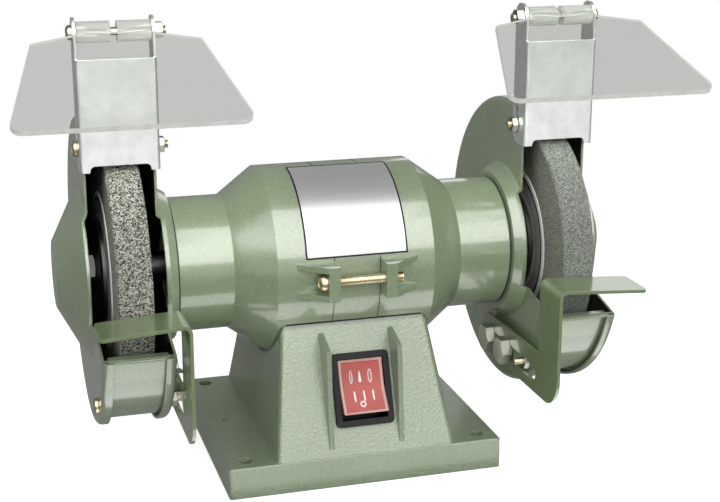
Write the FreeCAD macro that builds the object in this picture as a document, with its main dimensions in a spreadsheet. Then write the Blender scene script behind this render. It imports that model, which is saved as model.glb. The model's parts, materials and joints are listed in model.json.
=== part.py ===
import FreeCAD, Part
import os
import re
import Sketcher

# Bench grinder with two guarded wheels on one motor spindle, on a cast pedestal.
# Frame: origin at the middle of the four foot holes on the underside, X along the spindle, -Y to the
# user, Z up. Pieces on or around the spindle are drawn about its axis and then placed on it.

SIZES = {
    # pedestal casting
    "base_width": 137.5,
    "base_depth": 125,
    "base_thickness": 15.5,
    "base_corner": 1.5,
    "base_edge": 0.8,
    "foot_inset_x": 9.75,
    "foot_inset_y": 9,
    "foot_hole": 7,
    "casting_wall": 5,
    "pedestal_foot_width": 90,
    "pedestal_head_width": 74,
    "pedestal_head_inset": 0.1,
    "pedestal_corner": 3,
    "saddle_height": 53.3,
    "saddle_depth": 23.4,
    "saddle_gap": 0.15,
    "saddle_floor": 7.3,
    "rib_side_gap": 2,
    "rib_thickness": 2.4,
    "rib_top_drop": 9.6,
    "rib_reach": 13.8,
    "rib_root_drop": 4.6,
    # bottom cover
    "cover_recess": 4,
    "cover_sheet": 1.2,
    "cover_lap": 4,
    "cover_lip": 1,
    "cover_ear_width": 16,
    "cover_ear_overhang": 5,
    "cover_gap": 0.4,
    "cover_screw": 3.5,
    "cover_screw_head": 7,
    "cover_screw_head_height": 2,
    "cover_screw_length": 11,
    # rocker switch on the sloping front
    "switch_place": 31.5,
    "switch_mouth_width": 23,
    "switch_mouth_length": 29.5,
    "switch_wall": 1.4,
    "switch_depth": 18,
    "switch_floor": 4,
    "switch_gap": 0.25,
    "bezel_side_lap": 1.6,
    "bezel_end_lap": 1.85,
    "bezel_height": 2.5,
    "rocker_gap": 0.3,
    "rocker_end_gap": 1.35,
    "rocker_swing": 18,
    "rocker_middle": 2,
    "rocker_below": 5,
    "rocker_pivot_depth": 3,
    "rocker_pin": 3,
    "rocker_pin_gap": 0.15,
    "terminal_width": 6.3,
    "terminal_sheet": 0.8,
    "terminal_length": 8,
    "terminal_pitch": 9,
    # cable gland in the sloping back
    "gland_height": 33,
    "gland_bore": 7,
    "gland_wall": 2.5,
    "gland_flange_lap": 3,
    "gland_flange_height": 3,
    "gland_lock_lap": 1.6,
    "gland_lock_height": 2.2,
    "gland_gap": 0.2,
    # capacitor
    "capacitor_diameter": 28,
    "capacitor_length": 52,
    "capacitor_place": 20,
    "clip_sheet": 1,
    "clip_width": 12,
    "clip_foot": 8,
    "clip_gap": 0.15,
    # motor
    "shaft_offset": 2.5,
    "motor_radius": 46.7,
    "stator_band": 23,
    "bell_length": 27.7,
    "bell_cone_run": 18.4,
    "boss_length": 27.4,
    "boss_wall": 15.9,
    "boss_edge": 1.2,
    "bell_wall": 4.7,
    "bell_lap": 6.5,
    "lug_thickness": 5.5,
    "lug_height": 17,
    "lug_reach": 10.3,
    "lug_rib": 3,
    "lug_rib_run": 14,
    "tie_screw": 5,
    "tie_screw_rise": 5.3,
    "tie_screw_head": 8.4,
    "tie_screw_head_height": 4,
    "tie_screw_tail": 4,
    "mount_screw": 6,
    "mount_screw_place": 26,
    "mount_screw_flats": 10,
    "mount_screw_head_height": 4,
    "stator_bore": 26,
    "stator_slots": 24,
    "slot_width": 3.2,
    "slot_depth": 10,
    "winding_length": 13,
    "winding_inset": 3,
    "winding_gap": 2.5,
    "air_gap": 0.4,
    "end_ring_length": 6,
    "end_ring_bore": 14,
    "plate_width": 51,
    "plate_start": 12.4,
    "plate_sweep": 71.2,
    "plate_sheet": 0.3,
    "plate_gap": 0.05,
    # spindle and bearings
    "bearing_seat": 7.5,
    "spindle_shoulder": 1.5,
    "wheel_shoulder": 1.15,
    "spindle_tail": 3.4,
    "bearing_cover": 6,
    "bearing_width": 11,
    "bearing_inner_wall": 2.7,
    "bearing_outer_wall": 3.5,
    "ball_radius": 1.6,
    "ball_gap": 0.3,
    "ball_count": 8,
    "fit": 0.02,
    "screw_gap": 0.05,
    "spindle_gap": 1,
    # wheels
    "wheel_radius": 62.5,
    "wheel_offset": 15.5,
    "wheel_width": 16,
    "wheel_edge": 0.8,
    "blotter": 0.6,
    "blotter_radius": 38.5,
    "flange_radius": 25,
    "flange_thickness": 3.5,
    "flange_hub": 13,
    "flange_relief": 1,
    "flange_relief_radius": 18,
    "nut_flats": 19,
    "nut_height": 9,
    # wheel guards
    "dish": 7,
    "cover_clearance": 9.5,
    "guard_overhang": 3,
    "guard_sheet": 1.2,
    "guard_lip": 5,
    "guard_edge": 2.8,
    "hub_margin": 3.1,
    "hub_edge_step": 2.5,
    "hub_foot_step": 4.5,
    "hub_hole": 17,
    "dish_inset": 0.6,
    "bulge_depth": 14,
    "bulge_flat": 16.5,
    "bulge_foot": 43.5,
    "bulge_edge": 40,
    "bulge_inset": 0.5,
    "rim_clearance": 8.5,
    "rim_sheet": 1,
    "rim_lip_nose": 0.943,
    "rim_lip_depth": 7.5,
    "rim_lip_thickness": 1.8,
    "rim_lip_gap": 0.3,
    "mouth_edge": 25,
    "cheek_forward": 30.5,
    "cheek_drop": 14.6,
    "corner_inset": 4.5,
    "corner_drop": 23.5,
    "guard_screw": 5,
    "guard_screw_inset": 7.5,
    "guard_screw_head": 8.5,
    "guard_screw_head_height": 3,
    "guard_screw_length": 12,
    # screws through cover and back plate
    "through_screw": 4,
    "through_hole_gap": 0.2,
    "through_head": 7.6,
    "through_head_height": 2.6,
    "through_extra": 8,
    "through_nut_flats": 7,
    "through_nut_height": 3.2,
    "through_inset": 3.7,
    "top_screw_forward": 20.5,
    "front_screw_forward": 41.8,
    "rear_screw_drop": 10.7,
    # spark guards
    "spark_gap": 0.2,
    "spark_sheet": 1.2,
    "spark_face": 30,
    "spark_leg": 14.5,
    "spark_wheel_gap": 0.67,
    "spark_face_height": 50.8,
    "spark_notch_side": 6,
    "spark_notch_height": 3,
    "spark_notch_corner": 2.4,
    "spark_bend": 1.8,
    "spark_leg_corner": 8,
    "spark_slot": 4.6,
    "spark_rise": 2,
    "spark_drop": 8,
    "pin_forward": 24,
    "pin_rise": 63,
    "pin_margin": 7.2,
    "pin_diameter": 5,
    "pin_hole_gap": 0.2,
    "pin_head": 8,
    "pin_head_height": 3,
    "pin_nut_flats": 8,
    "pin_nut_height": 4,
    "pin_tail": 1.5,
    # eye shields
    "left_shield_droop": 28.4,
    "right_shield_droop": 25.9,
    "shield_sheet": 2.6,
    "shield_loop_gap": 0.3,
    "shield_side_gap": 0.4,
    "shield_split": 3.2,
    "shield_split_length": 7,
    "shield_neck": 8,
    "shield_shoulder": 14,
    "shield_length": 59.7,
    "shield_top_width": 76,
    "shield_bottom_width": 104,
    "shield_corner": 5,
    # tool rests
    "rest_sheet": 1.6,
    "rest_pad": 2.8,
    "rest_pad_rim": 3,
    "rest_gap": 0.1,
    "rest_table_drop": 3,
    "rest_table_overhang": 3,
    "rest_table_skew": 8,
    "rest_wheel_gap": 1.9,
    "rest_depth": 23.6,
    "rest_arm_above": 12,
    "rest_arm_below": 9.5,
    "rest_arm_rear": 12,
    "rest_bend": 4,
    "rest_front_corner": 14,
    "rest_rear_corner": 9,
    "rest_table_corner": 2,
    "rest_slot_front": 57.8,
    "rest_slot_rear": 4.2,
    "rest_bolt": 8,
    "rest_bolt_gap": 0.2,
    "rest_bolt_front": 23.6,
    "rest_bolt_rear": 1.8,
    "rest_bolt_flats": 13,
    "rest_bolt_head": 5.3,
    "rest_nut_height": 5,
}

# Lengths that follow from the sizes above.
FOLLOWS = {
    # pedestal
    "shaft_height": "saddle_height + motor_radius",
    "pedestal_head_height": "shaft_height - saddle_depth",
    "pedestal_head_depth": "2 * (sqrt(motor_radius ^ 2 - saddle_depth ^ 2) - pedestal_head_inset)",
    "rise": "pedestal_head_height - base_thickness",
    "foot_reach": "base_depth / 2 - base_edge",
    "foot_x": "base_width / 2 - foot_inset_x",
    "foot_y": "base_depth / 2 - foot_inset_y",
    "front_slope": "(foot_reach + shaft_offset - pedestal_head_depth / 2) / rise",
    "back_slope": "(foot_reach - shaft_offset - pedestal_head_depth / 2) / rise",
    "side_slope": "(pedestal_foot_width - pedestal_head_width) / 2 / rise",
    "front_lean": "atan(front_slope) / 1 deg",
    "back_lean": "atan(back_slope) / 1 deg",
    "roof": "saddle_height - saddle_floor",
    "roof_rise": "roof - base_thickness",
    "cavity_half": "pedestal_foot_width / 2 - casting_wall",
    "cavity_reach": "foot_reach - casting_wall",
    "rib_top": "pedestal_head_height - rib_top_drop",
    "rib_root": "pedestal_head_height - rib_root_drop",
    "rib_place": "bezel_width / 2 + rib_side_gap",
    # bottom cover, switch, gland and capacitor
    "ear_end": "foot_x + cover_ear_overhang",
    "recess_half": "cavity_half + cover_lap + cover_gap",
    "recess_reach": "cavity_reach + cover_lip + cover_gap",
    "switch_y": "switch_place * sin(front_lean) - foot_reach",
    "switch_z": "base_thickness + switch_place * cos(front_lean)",
    "switch_body_width": "switch_mouth_width + 2 * switch_wall",
    "switch_body_length": "switch_mouth_length + 2 * switch_wall",
    "window_half": "switch_body_width / 2 + switch_gap",
    "window_reach": "switch_body_length / 2 + switch_gap",
    "bezel_width": "switch_body_width + 2 * bezel_side_lap",
    "bezel_length": "switch_body_length + 2 * bezel_end_lap",
    "rocker_length": "switch_mouth_length - 2 * rocker_end_gap",
    "rocker_width": "switch_mouth_width - 2 * rocker_gap",
    "rocker_end": "rocker_middle + rocker_length / 2 * tan(rocker_swing / 2)",
    "gland_y": "foot_reach - (gland_height - base_thickness) * back_slope",
    "gland_grip": "casting_wall * cos(back_lean)",
    "gland_neck": "gland_bore + 2 * gland_wall",
    "gland_flange": "gland_neck + 2 * gland_flange_lap",
    "gland_lock": "gland_neck + 2 * gland_lock_lap",
    "capacitor_z": "cover_recess + capacitor_diameter / 2 + clip_gap",
    # motor, spindle and bearings
    "bell_start": "stator_band / 2",
    "bell_straight_end": "bell_start + bell_length",
    "bell_cone_end": "bell_straight_end + bell_cone_run",
    "boss_end": "bell_cone_end + boss_length",
    "boss_radius": "bearing_radius + boss_wall",
    "bell_bore": "motor_radius - bell_wall",
    "core_radius": "motor_radius - bell_wall / 2",
    "core_end": "bell_start + bell_lap",
    "lug_end": "bell_start + lug_thickness",
    "lug_top": "motor_radius + lug_reach",
    "tie_screw_place": "motor_radius + tie_screw_rise",
    "winding_inner": "stator_bore + winding_inset",
    "winding_outer": "bell_bore - winding_gap",
    "winding_corner": "(winding_outer - winding_inner) / 4",
    "rotor_radius": "stator_bore - air_gap",
    "bearing_end": "boss_end - bearing_cover",
    "bearing_start": "bearing_end - bearing_width",
    "bearing_inner_race": "bearing_seat + bearing_inner_wall",
    "bearing_outer_race": "bearing_inner_race + 2 * (ball_radius + ball_gap)",
    "bearing_radius": "bearing_outer_race + bearing_outer_wall",
    "ball_circle": "(bearing_outer_race + bearing_inner_race) / 2",
    "spindle_middle": "bearing_seat + spindle_shoulder",
    "wheel_seat": "bearing_seat - wheel_shoulder",
    "spindle_end": "nut_start + nut_height + spindle_tail",
    # wheels
    "wheel_start": "boss_end + wheel_offset",
    "wheel_end": "wheel_start + wheel_width",
    "flange_inner_start": "wheel_start - blotter - flange_thickness",
    "flange_outer_start": "wheel_end + blotter",
    "nut_start": "flange_outer_start + flange_thickness",
    # guards
    "guard_inner": "boss_end + dish",
    "guard_outer": "wheel_end + cover_clearance",
    "guard_middle": "(guard_inner + guard_outer) / 2",
    "guard_depth": "guard_outer + bulge_depth + 2 - boss_end",
    "inner_face": "guard_inner + guard_sheet",
    "outer_face": "guard_outer - guard_sheet",
    "rim_radius": "wheel_radius + rim_clearance + rim_sheet",
    "rim_lip_front": "sqrt(rim_radius ^ 2 - corner_drop ^ 2) + rim_lip_nose",
    "rim_lip_back": "rim_lip_front - rim_lip_depth",
    "rim_lip_end": "guard_edge - guard_sheet + rim_lip_gap",
    "guard_radius": "rim_radius + guard_overhang",
    "corner_forward": "guard_radius - corner_inset",
    "hub_flat": "boss_radius + hub_margin",
    "hub_edge": "hub_flat + hub_edge_step",
    "hub_foot": "hub_flat + hub_foot_step",
    "dish_rate": "dish / hub_foot_step",
    "bulge_rate": "bulge_depth / (bulge_foot - bulge_flat)",
    "guard_screw_circle": "bearing_radius + guard_screw_inset",
    "through_circle": "rim_radius - through_inset",
    "through_length": "guard_outer - guard_inner + through_extra",
    "top_screw_up": "sqrt(through_circle ^ 2 - top_screw_forward ^ 2)",
    "front_screw_drop": "sqrt(through_circle ^ 2 - front_screw_forward ^ 2)",
    "rear_screw_back": "sqrt(through_circle ^ 2 - rear_screw_drop ^ 2)",
    # spark guards, eye shields and tool rests
    "spark_bottom": "sqrt(wheel_radius ^ 2 - spark_face ^ 2) + spark_wheel_gap",
    "spark_face_top": "spark_bottom + spark_face_height",
    "spark_notch_width": "wheel_width + 2 * spark_notch_side",
    "leg_inner_out": "guard_inner - spark_gap - spark_sheet",
    "leg_inner_in": "guard_inner - spark_gap",
    "leg_outer_in": "guard_outer + spark_gap",
    "leg_outer_out": "guard_outer + spark_gap + spark_sheet",
    "leg_back": "spark_face - spark_leg",
    "leg_top": "pin_up + pin_margin",
    "pin_up": "spark_bottom + pin_rise",
    "loop_inner": "pin_diameter / 2 + shield_loop_gap",
    "loop_outer": "loop_inner + shield_sheet",
    "loop_start": "leg_inner_in + shield_side_gap",
    "loop_end": "leg_outer_in - shield_side_gap",
    "rest_face": "guard_inner - rest_pad - rest_gap",
    "rest_inner": "rest_face - rest_sheet",
    "rest_table_end": "guard_outer + rest_table_overhang",
    "rest_back": "wheel_radius + rest_wheel_gap",
    "rest_front": "rest_back + rest_depth",
    "rest_slot_up": "front_screw_drop",
    "rest_arm_top": "rest_slot_up - rest_arm_above",
    "rest_arm_bottom": "rest_slot_up + rest_arm_below",
    "table_under": "rest_table_drop + rest_sheet",
    "bolt_seat": "rest_inner - rest_gap",
}

SIDES = (("left", -1), ("right", 1))
ENDS = (("front", -1), ("rear", 1))

doc = FreeCAD.newDocument("BenchGrinder")
sizes = doc.addObject("Spreadsheet::Sheet", "Sizes")
for row, (word, number) in enumerate(SIZES.items(), start=1):
    sizes.set(f"A{row}", word)
    sizes.set(f"B{row}", str(number))
    sizes.setAlias(f"B{row}", word)
doc.recompute()

nodes = []


def formula(text):
    """Write a formula in plain words as one that reads the sheet."""
    def swap(match):
        word = match.group(0)
        if word in FOLLOWS:
            return "(" + formula(FOLLOWS[word]) + ")"
        if word in SIZES:
            return "Sizes." + word
        return word
    return re.sub(r"[a-z_]\w*", swap, str(text))


def value(text):
    return float(sizes.evalExpression(formula(text)))


def bind(item, **links):
    """Tie properties to formulas; a double underscore in a name stands for a dot."""
    for path, text in links.items():
        item.setExpression(path.replace("__", "."), formula(text))
    return item


def move(item, x=0, y=0, z=0):
    return bind(item, Placement__Base__x=x, Placement__Base__y=y, Placement__Base__z=z)


def turn(item, axis, angle):
    """Turn a piece about a line through its own origin."""
    item.Placement.Rotation = FreeCAD.Rotation(FreeCAD.Vector(*axis), 1)
    return bind(item, Placement__Rotation__Angle=angle)


def on_spindle(item):
    return move(item, 0, "shaft_offset", "shaft_height")


def node(item, name):
    """Name a finished piece, so that it is written to a file of its own."""
    item.Label = name
    nodes.append(item)
    return item


def body(name):
    return node(doc.addObject("PartDesign::Body", name), name)


def spindle_body(name):
    return on_spindle(body(name))


# Sketches and features of a body

def blank_sketch(owner, plane, depth):
    sketch = owner.newObject("Sketcher::SketchObject", owner.Name + "_sketch")
    face = next(item for item in owner.Origin.OriginFeatures if item.Role == plane)
    sketch.AttachmentSupport = [(face, "")]
    sketch.MapMode = "FlatFace"
    return bind(sketch, AttachmentOffset__Base__z=depth)


def hold(sketch, kind, text, *where):
    """Add one dimension to a sketch and tie it to a formula."""
    index = sketch.addConstraint(Sketcher.Constraint(kind, *where, value(text)))
    sketch.renameConstraint(index, f"size{index}")
    sketch.setExpression(f"Constraints.size{index}", formula(text))


def polygon(owner, plane, points, depth=0):
    """A closed outline through points given as pairs of formulas."""
    sketch = blank_sketch(owner, plane, depth)
    corners = [FreeCAD.Vector(value(across), value(up), 0) for across, up in points]
    count = len(corners)
    for index in range(count):
        sketch.addGeometry(Part.LineSegment(corners[index], corners[(index + 1) % count]))
    for index in range(count):
        sketch.addConstraint(Sketcher.Constraint("Coincident", index, 2, (index + 1) % count, 1))
    for index, (across, up) in enumerate(points):
        hold(sketch, "DistanceX", across, -1, 1, index, 1)
        hold(sketch, "DistanceY", up, -1, 1, index, 1)
    return sketch


def rectangle(owner, plane, left, right, low, high, depth=0):
    return polygon(owner, plane, [(left, low), (right, low), (right, high), (left, high)], depth)


def circles(owner, plane, centres, radius, depth=0):
    sketch = blank_sketch(owner, plane, depth)
    for index, (across, up) in enumerate(centres):
        middle = FreeCAD.Vector(value(across), value(up), 0)
        sketch.addGeometry(Part.Circle(middle, FreeCAD.Vector(0, 0, 1), value(radius)))
        hold(sketch, "DistanceX", across, -1, 1, index, 3)
        hold(sketch, "DistanceY", up, -1, 1, index, 3)
        hold(sketch, "Radius", radius, index)
    return sketch


def feature(owner, kind, profile, **links):
    item = owner.newObject("PartDesign::" + kind, owner.Name + "_" + kind)
    item.Profile = profile
    return bind(item, **links)


def pad(owner, profile, length):
    return feature(owner, "Pad", profile, Length=length)


def pocket(owner, profile, length):
    """Cut from the sketch's plane against its normal."""
    return feature(owner, "Pocket", profile, Length=length)


def revolve(owner, points, sign=1, plane="XZ_Plane"):
    """Turn an outline of (along, radius) points about the body's X axis, or on the YZ plane about Y."""
    profile = polygon(owner, plane, [(f"{sign} * ({along})", radius) for along, radius in points])
    item = feature(owner, "Revolution", profile)
    item.ReferenceAxis = (profile, ["H_Axis"])
    item.Angle = 360
    return item


def loft(owner, kind, lower, upper):
    item = feature(owner, kind, lower)
    item.Sections = [upper]
    item.Ruled = True
    return item


def round_edges(owner, radius, wanted):
    """Round the edges of a body that a test on their middle and direction picks."""
    doc.recompute()
    base = owner.Tip
    names = []
    for index, edge in enumerate(base.Shape.Edges, start=1):
        if edge.Curve.TypeId != "Part::GeomLine":
            continue
        if wanted(edge.CenterOfMass, edge.tangentAt(edge.FirstParameter)):
            names.append(f"Edge{index}")
    item = owner.newObject("PartDesign::Fillet", owner.Name + "_Fillet")
    item.Base = (base, names)
    return bind(item, Radius=radius)


def round_rims(owner, radius, place, size):
    """Round the turned edges of a body that lie at one place along X with one radius."""
    doc.recompute()
    base = owner.Tip
    names = []
    for index, edge in enumerate(base.Shape.Edges, start=1):
        if edge.Curve.TypeId != "Part::GeomCircle":
            continue
        if near(edge.Curve.Center.x, place) and near(edge.Curve.Radius, size):
            names.append(f"Edge{index}")
    item = owner.newObject("PartDesign::Fillet", owner.Name + "_Fillet")
    item.Base = (base, names)
    return bind(item, Radius=radius)


def near(a, text):
    return abs(a - value(text)) < 0.01


def along_x(line):
    return abs(line.x) > 0.999


def along_z(line):
    return abs(line.z) > 0.999


# Plain solids and groups

def solid(kind, name, **links):
    return bind(doc.addObject("Part::" + kind, name), **links)


def lengthwise(kind, name, start, height, y, z, **links):
    """A primitive that stands along X from its start; a hexagon has flats above and below."""
    item = solid(kind, name, Height=height, **links)
    level = FreeCAD.Rotation(FreeCAD.Vector(0, 0, 1), 30)
    item.Placement.Rotation = FreeCAD.Rotation(FreeCAD.Vector(0, 1, 0), 90) * level
    return move(item, start, y, z)


def low_end(sign, near_end, far_end):
    """The lower X of a stretch that is mirrored for the left side."""
    return near_end if sign > 0 else f"-({far_end})"


def rod(name, sign, near_end, far_end, radius, y, z):
    start = low_end(sign, near_end, far_end)
    return lengthwise("Cylinder", name, start, f"{far_end} - ({near_end})", y, z, Radius=radius)


def hexagon(name, sign, near_end, far_end, flats, y, z):
    start = low_end(sign, near_end, far_end)
    item = lengthwise("Prism", name, start, f"{far_end} - ({near_end})", y, z,
                      Circumradius=f"{flats} / sqrt(3)")
    item.Polygon = 6
    return item


def fused(name, *pieces):
    item = doc.addObject("Part::MultiFuse", name)
    item.Shapes = list(pieces)
    return item


def cut(name, base, tool):
    item = doc.addObject("Part::Cut", name)
    item.Base = base
    item.Tool = tool
    return item


def group(name, pieces):
    item = node(doc.addObject("Part::Compound", name), name)
    item.Links = pieces
    return item


# Pedestal and what it holds

def make_pedestal():
    casting = body("base_casting")
    half_width, half_depth = "base_width / 2", "base_depth / 2"
    pad(casting, rectangle(casting, "XY_Plane", f"-{half_width}", half_width, f"-{half_depth}", half_depth),
        "base_thickness")
    round_edges(casting, "base_corner", lambda middle, line: along_z(line))
    round_edges(casting, "base_edge", lambda middle, line: near(middle.z, "base_thickness"))
    tower = polygon(casting, "YZ_Plane", [
        ("-foot_reach", "base_thickness"),
        ("foot_reach", "base_thickness"),
        ("shaft_offset + pedestal_head_depth / 2", "pedestal_head_height"),
        ("shaft_offset - pedestal_head_depth / 2", "pedestal_head_height"),
    ], "-pedestal_foot_width / 2")
    pad(casting, tower, "pedestal_foot_width")
    for sign in (-1, 1):
        wedge = polygon(casting, "XZ_Plane", [
            (f"{sign} * pedestal_foot_width / 2", "base_thickness"),
            (f"{sign} * (pedestal_foot_width / 2 + 1)", "base_thickness"),
            (f"{sign} * (pedestal_foot_width / 2 + 1)", "pedestal_head_height + 1"),
            (f"{sign} * (pedestal_head_width / 2 - side_slope)", "pedestal_head_height + 1"),
        ], "base_depth")
        pocket(casting, wedge, "2 * base_depth")
    round_edges(casting, "pedestal_corner", lambda middle, line: 0.5 < abs(line.z) < 0.999)

    # Ribs beside the switch
    for sign in (-1, 1):
        side = polygon(casting, "YZ_Plane", [
            ("1 - foot_reach", "base_thickness + 0.5"),
            ("(rib_top - base_thickness) * front_slope - foot_reach - rib_reach", "rib_top"),
            ("(rib_root - base_thickness) * front_slope - foot_reach + 1", "rib_root"),
            ("casting_wall - foot_reach", "base_thickness + 0.5"),
        ], low_end(sign, "rib_place", "rib_place + rib_thickness"))
        pad(casting, side, "rib_thickness")

    saddle = circles(casting, "YZ_Plane", [("shaft_offset", "shaft_height")], "motor_radius + saddle_gap",
                     "pedestal_foot_width")
    pocket(casting, saddle, "2 * pedestal_foot_width")

    # Hollow underside
    well = rectangle(casting, "XY_Plane", "-cavity_half", "cavity_half", "-cavity_reach", "cavity_reach",
                     "base_thickness")
    pocket(casting, well, "base_thickness")
    floor = rectangle(casting, "XY_Plane", "-cavity_half", "cavity_half", "-cavity_reach", "cavity_reach",
                      "base_thickness - 0.01")
    roof = rectangle(casting, "XY_Plane", "side_slope * roof_rise - cavity_half",
                     "cavity_half - side_slope * roof_rise", "front_slope * roof_rise - cavity_reach",
                     "cavity_reach - back_slope * roof_rise", "roof")
    loft(casting, "SubtractiveLoft", floor, roof)

    # Recess for the bottom cover, with an ear on each side
    recess = rectangle(casting, "XY_Plane", "-recess_half", "recess_half", "-recess_reach", "recess_reach",
                       "cover_recess")
    pocket(casting, recess, "cover_recess")
    ears = rectangle(casting, "XY_Plane", "-(ear_end + cover_gap)", "ear_end + cover_gap",
                     "-(cover_ear_width / 2 + cover_gap)", "cover_ear_width / 2 + cover_gap", "cover_recess")
    pocket(casting, ears, "cover_recess")

    # Holes for the feet, the cover screws and the motor screws
    feet = [(f"{x} * foot_x", f"{y} * foot_y") for x in (-1, 1) for y in (-1, 1)]
    pocket(casting, circles(casting, "XY_Plane", feet, "foot_hole / 2", "base_thickness"), "base_thickness")
    sides = [(f"{x} * foot_x", 0) for x in (-1, 1)]
    pocket(casting, circles(casting, "XY_Plane", sides, "cover_screw / 2 + screw_gap", "base_thickness"),
           "base_thickness")
    mounts = [(f"{x} * mount_screw_place", "shaft_offset") for x in (-1, 1)]
    pocket(casting, circles(casting, "XY_Plane", mounts, "mount_screw / 2 + rest_bolt_gap", "shaft_height"),
           "shaft_height - roof + 1")

    # Openings for the switch and the cable gland, square to the sloping faces
    window = rectangle(casting, "XZ_Plane", "-window_half", "window_half", "-window_reach", "window_reach")
    lean_sketch(window, "-front_lean", "switch_y", "switch_z")
    pocket(casting, window, "switch_depth + terminal_length + 2")
    inlet = circles(casting, "XZ_Plane", [(0, 0)], "gland_neck / 2 + gland_gap")
    lean_sketch(inlet, "back_lean", "gland_y", "gland_height")
    feature(casting, "Pocket", inlet, Length="4 * casting_wall").Reversed = True


def lean_sketch(sketch, angle, y, z):
    """Tilt a sketch on the XZ plane about X and put its origin on a sloping face."""
    sketch.AttachmentOffset.Rotation = FreeCAD.Rotation(FreeCAD.Vector(1, 0, 0), 1)
    bind(sketch, AttachmentOffset__Rotation__Angle=angle, AttachmentOffset__Base__y=z,
         AttachmentOffset__Base__z=f"-({y})")


def make_bottom_cover():
    cover = body("bottom_cover")
    low = "cover_recess - cover_sheet"
    pad(cover, rectangle(cover, "XY_Plane", "-(cavity_half + cover_lap)", "cavity_half + cover_lap",
                         "-(cavity_reach + cover_lip)", "cavity_reach + cover_lip", low), "cover_sheet")
    ears = rectangle(cover, "XY_Plane", "-ear_end", "ear_end", "-cover_ear_width / 2", "cover_ear_width / 2",
                     low)
    pad(cover, ears, "cover_sheet")
    holes = [(f"{x} * foot_x", 0) for x in (-1, 1)]
    pocket(cover, circles(cover, "XY_Plane", holes, "cover_screw / 2 + rest_bolt_gap", "cover_recess"),
           "2 * cover_sheet")

    screws = []
    for side, sign in SIDES:
        x = f"{sign} * foot_x"
        head = solid("Cylinder", side + "_cover_head", Radius="cover_screw_head / 2",
                     Height="cover_screw_head_height")
        shank = solid("Cylinder", side + "_cover_shank", Radius="cover_screw / 2",
                      Height="cover_screw_length")
        move(head, x, 0, f"{low} - cover_screw_head_height")
        move(shank, x, 0, low)
        screws.append(fused(side + "_cover_screw", head, shank))
    group("bottom_cover_screws", screws)


def on_front_slope(item):
    turn(item, (1, 0, 0), "90 - front_lean")
    return move(item, 0, "switch_y", "switch_z")


def make_switch():
    housing = on_front_slope(body("switch_housing"))
    half_x, half_y = "switch_mouth_width / 2", "switch_mouth_length / 2"
    bezel = rectangle(housing, "XY_Plane", "-bezel_width / 2", "bezel_width / 2", "-bezel_length / 2",
                      "bezel_length / 2")
    pad(housing, bezel, "bezel_height")
    round_edges(housing, "bezel_height", lambda middle, line: along_z(line))
    case = rectangle(housing, "XY_Plane", "-switch_body_width / 2", "switch_body_width / 2",
                     "-switch_body_length / 2", "switch_body_length / 2", "-switch_depth")
    pad(housing, case, "switch_depth")
    mouth = rectangle(housing, "XY_Plane", f"-{half_x}", half_x, f"-{half_y}", half_y, "bezel_height")
    pocket(housing, mouth, "bezel_height + switch_depth - switch_floor")
    pivots = circles(housing, "YZ_Plane", [(0, "-rocker_pivot_depth")], "rocker_pin / 2 + rocker_pin_gap",
                     "bezel_width")
    pocket(housing, pivots, "2 * bezel_width")

    # The rocker is drawn level about its pivot and stands with its lower end out
    rocker = body("switch_rocker")
    turn(rocker, (1, 0, 0), "90 - front_lean - rocker_swing / 2")
    move(rocker, 0, "switch_y + rocker_pivot_depth * cos(front_lean)",
         "switch_z - rocker_pivot_depth * sin(front_lean)")
    side = polygon(rocker, "YZ_Plane", [
        ("-rocker_length / 2", "rocker_end + rocker_pivot_depth"),
        ("-rocker_length * 0.4", "-rocker_below + rocker_pivot_depth"),
        ("rocker_length * 0.4", "-rocker_below + rocker_pivot_depth"),
        ("rocker_length / 2", "rocker_end + rocker_pivot_depth"),
        (0, "rocker_middle + rocker_pivot_depth"),
    ], "-rocker_width / 2")
    pad(rocker, side, "rocker_width")
    pin_length = "(switch_mouth_width + switch_wall)"
    stubs = circles(rocker, "YZ_Plane", [(0, 0)], "rocker_pin / 2", f"-{pin_length} / 2")
    pad(rocker, stubs, pin_length)

    tabs = []
    for index in (-1, 0, 1):
        tab = solid("Box", f"terminal_{index + 1}", Length="terminal_width", Width="terminal_sheet",
                    Height="terminal_length")
        move(tab, "-terminal_width / 2", f"{index} * terminal_pitch - terminal_sheet / 2",
             "-switch_depth - terminal_length")
        tabs.append(tab)
    on_front_slope(group("switch_terminals", tabs))


def make_gland():
    """A grommet through the sloping back, drawn along Y and tilted to the wall."""
    gland = body("cable_gland")
    turn(gland, (1, 0, 0), "back_lean")
    move(gland, 0, "gland_y", "gland_height")
    lock = "-(gland_grip + gland_gap)"
    revolve(gland, [
        ("gland_flange_height", "gland_bore / 2"),
        ("gland_flange_height", "gland_flange / 2 - gland_flange_height / 2"),
        ("gland_flange_height / 2", "gland_flange / 2"),
        (0, "gland_flange / 2"),
        (0, "gland_neck / 2"),
        (lock, "gland_neck / 2"),
        (lock, "gland_lock / 2"),
        (f"{lock} - gland_lock_height", "gland_lock / 2 - gland_lock_height / 2"),
        (f"{lock} - gland_lock_height", "gland_bore / 2"),
    ], 1, "YZ_Plane")


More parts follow.
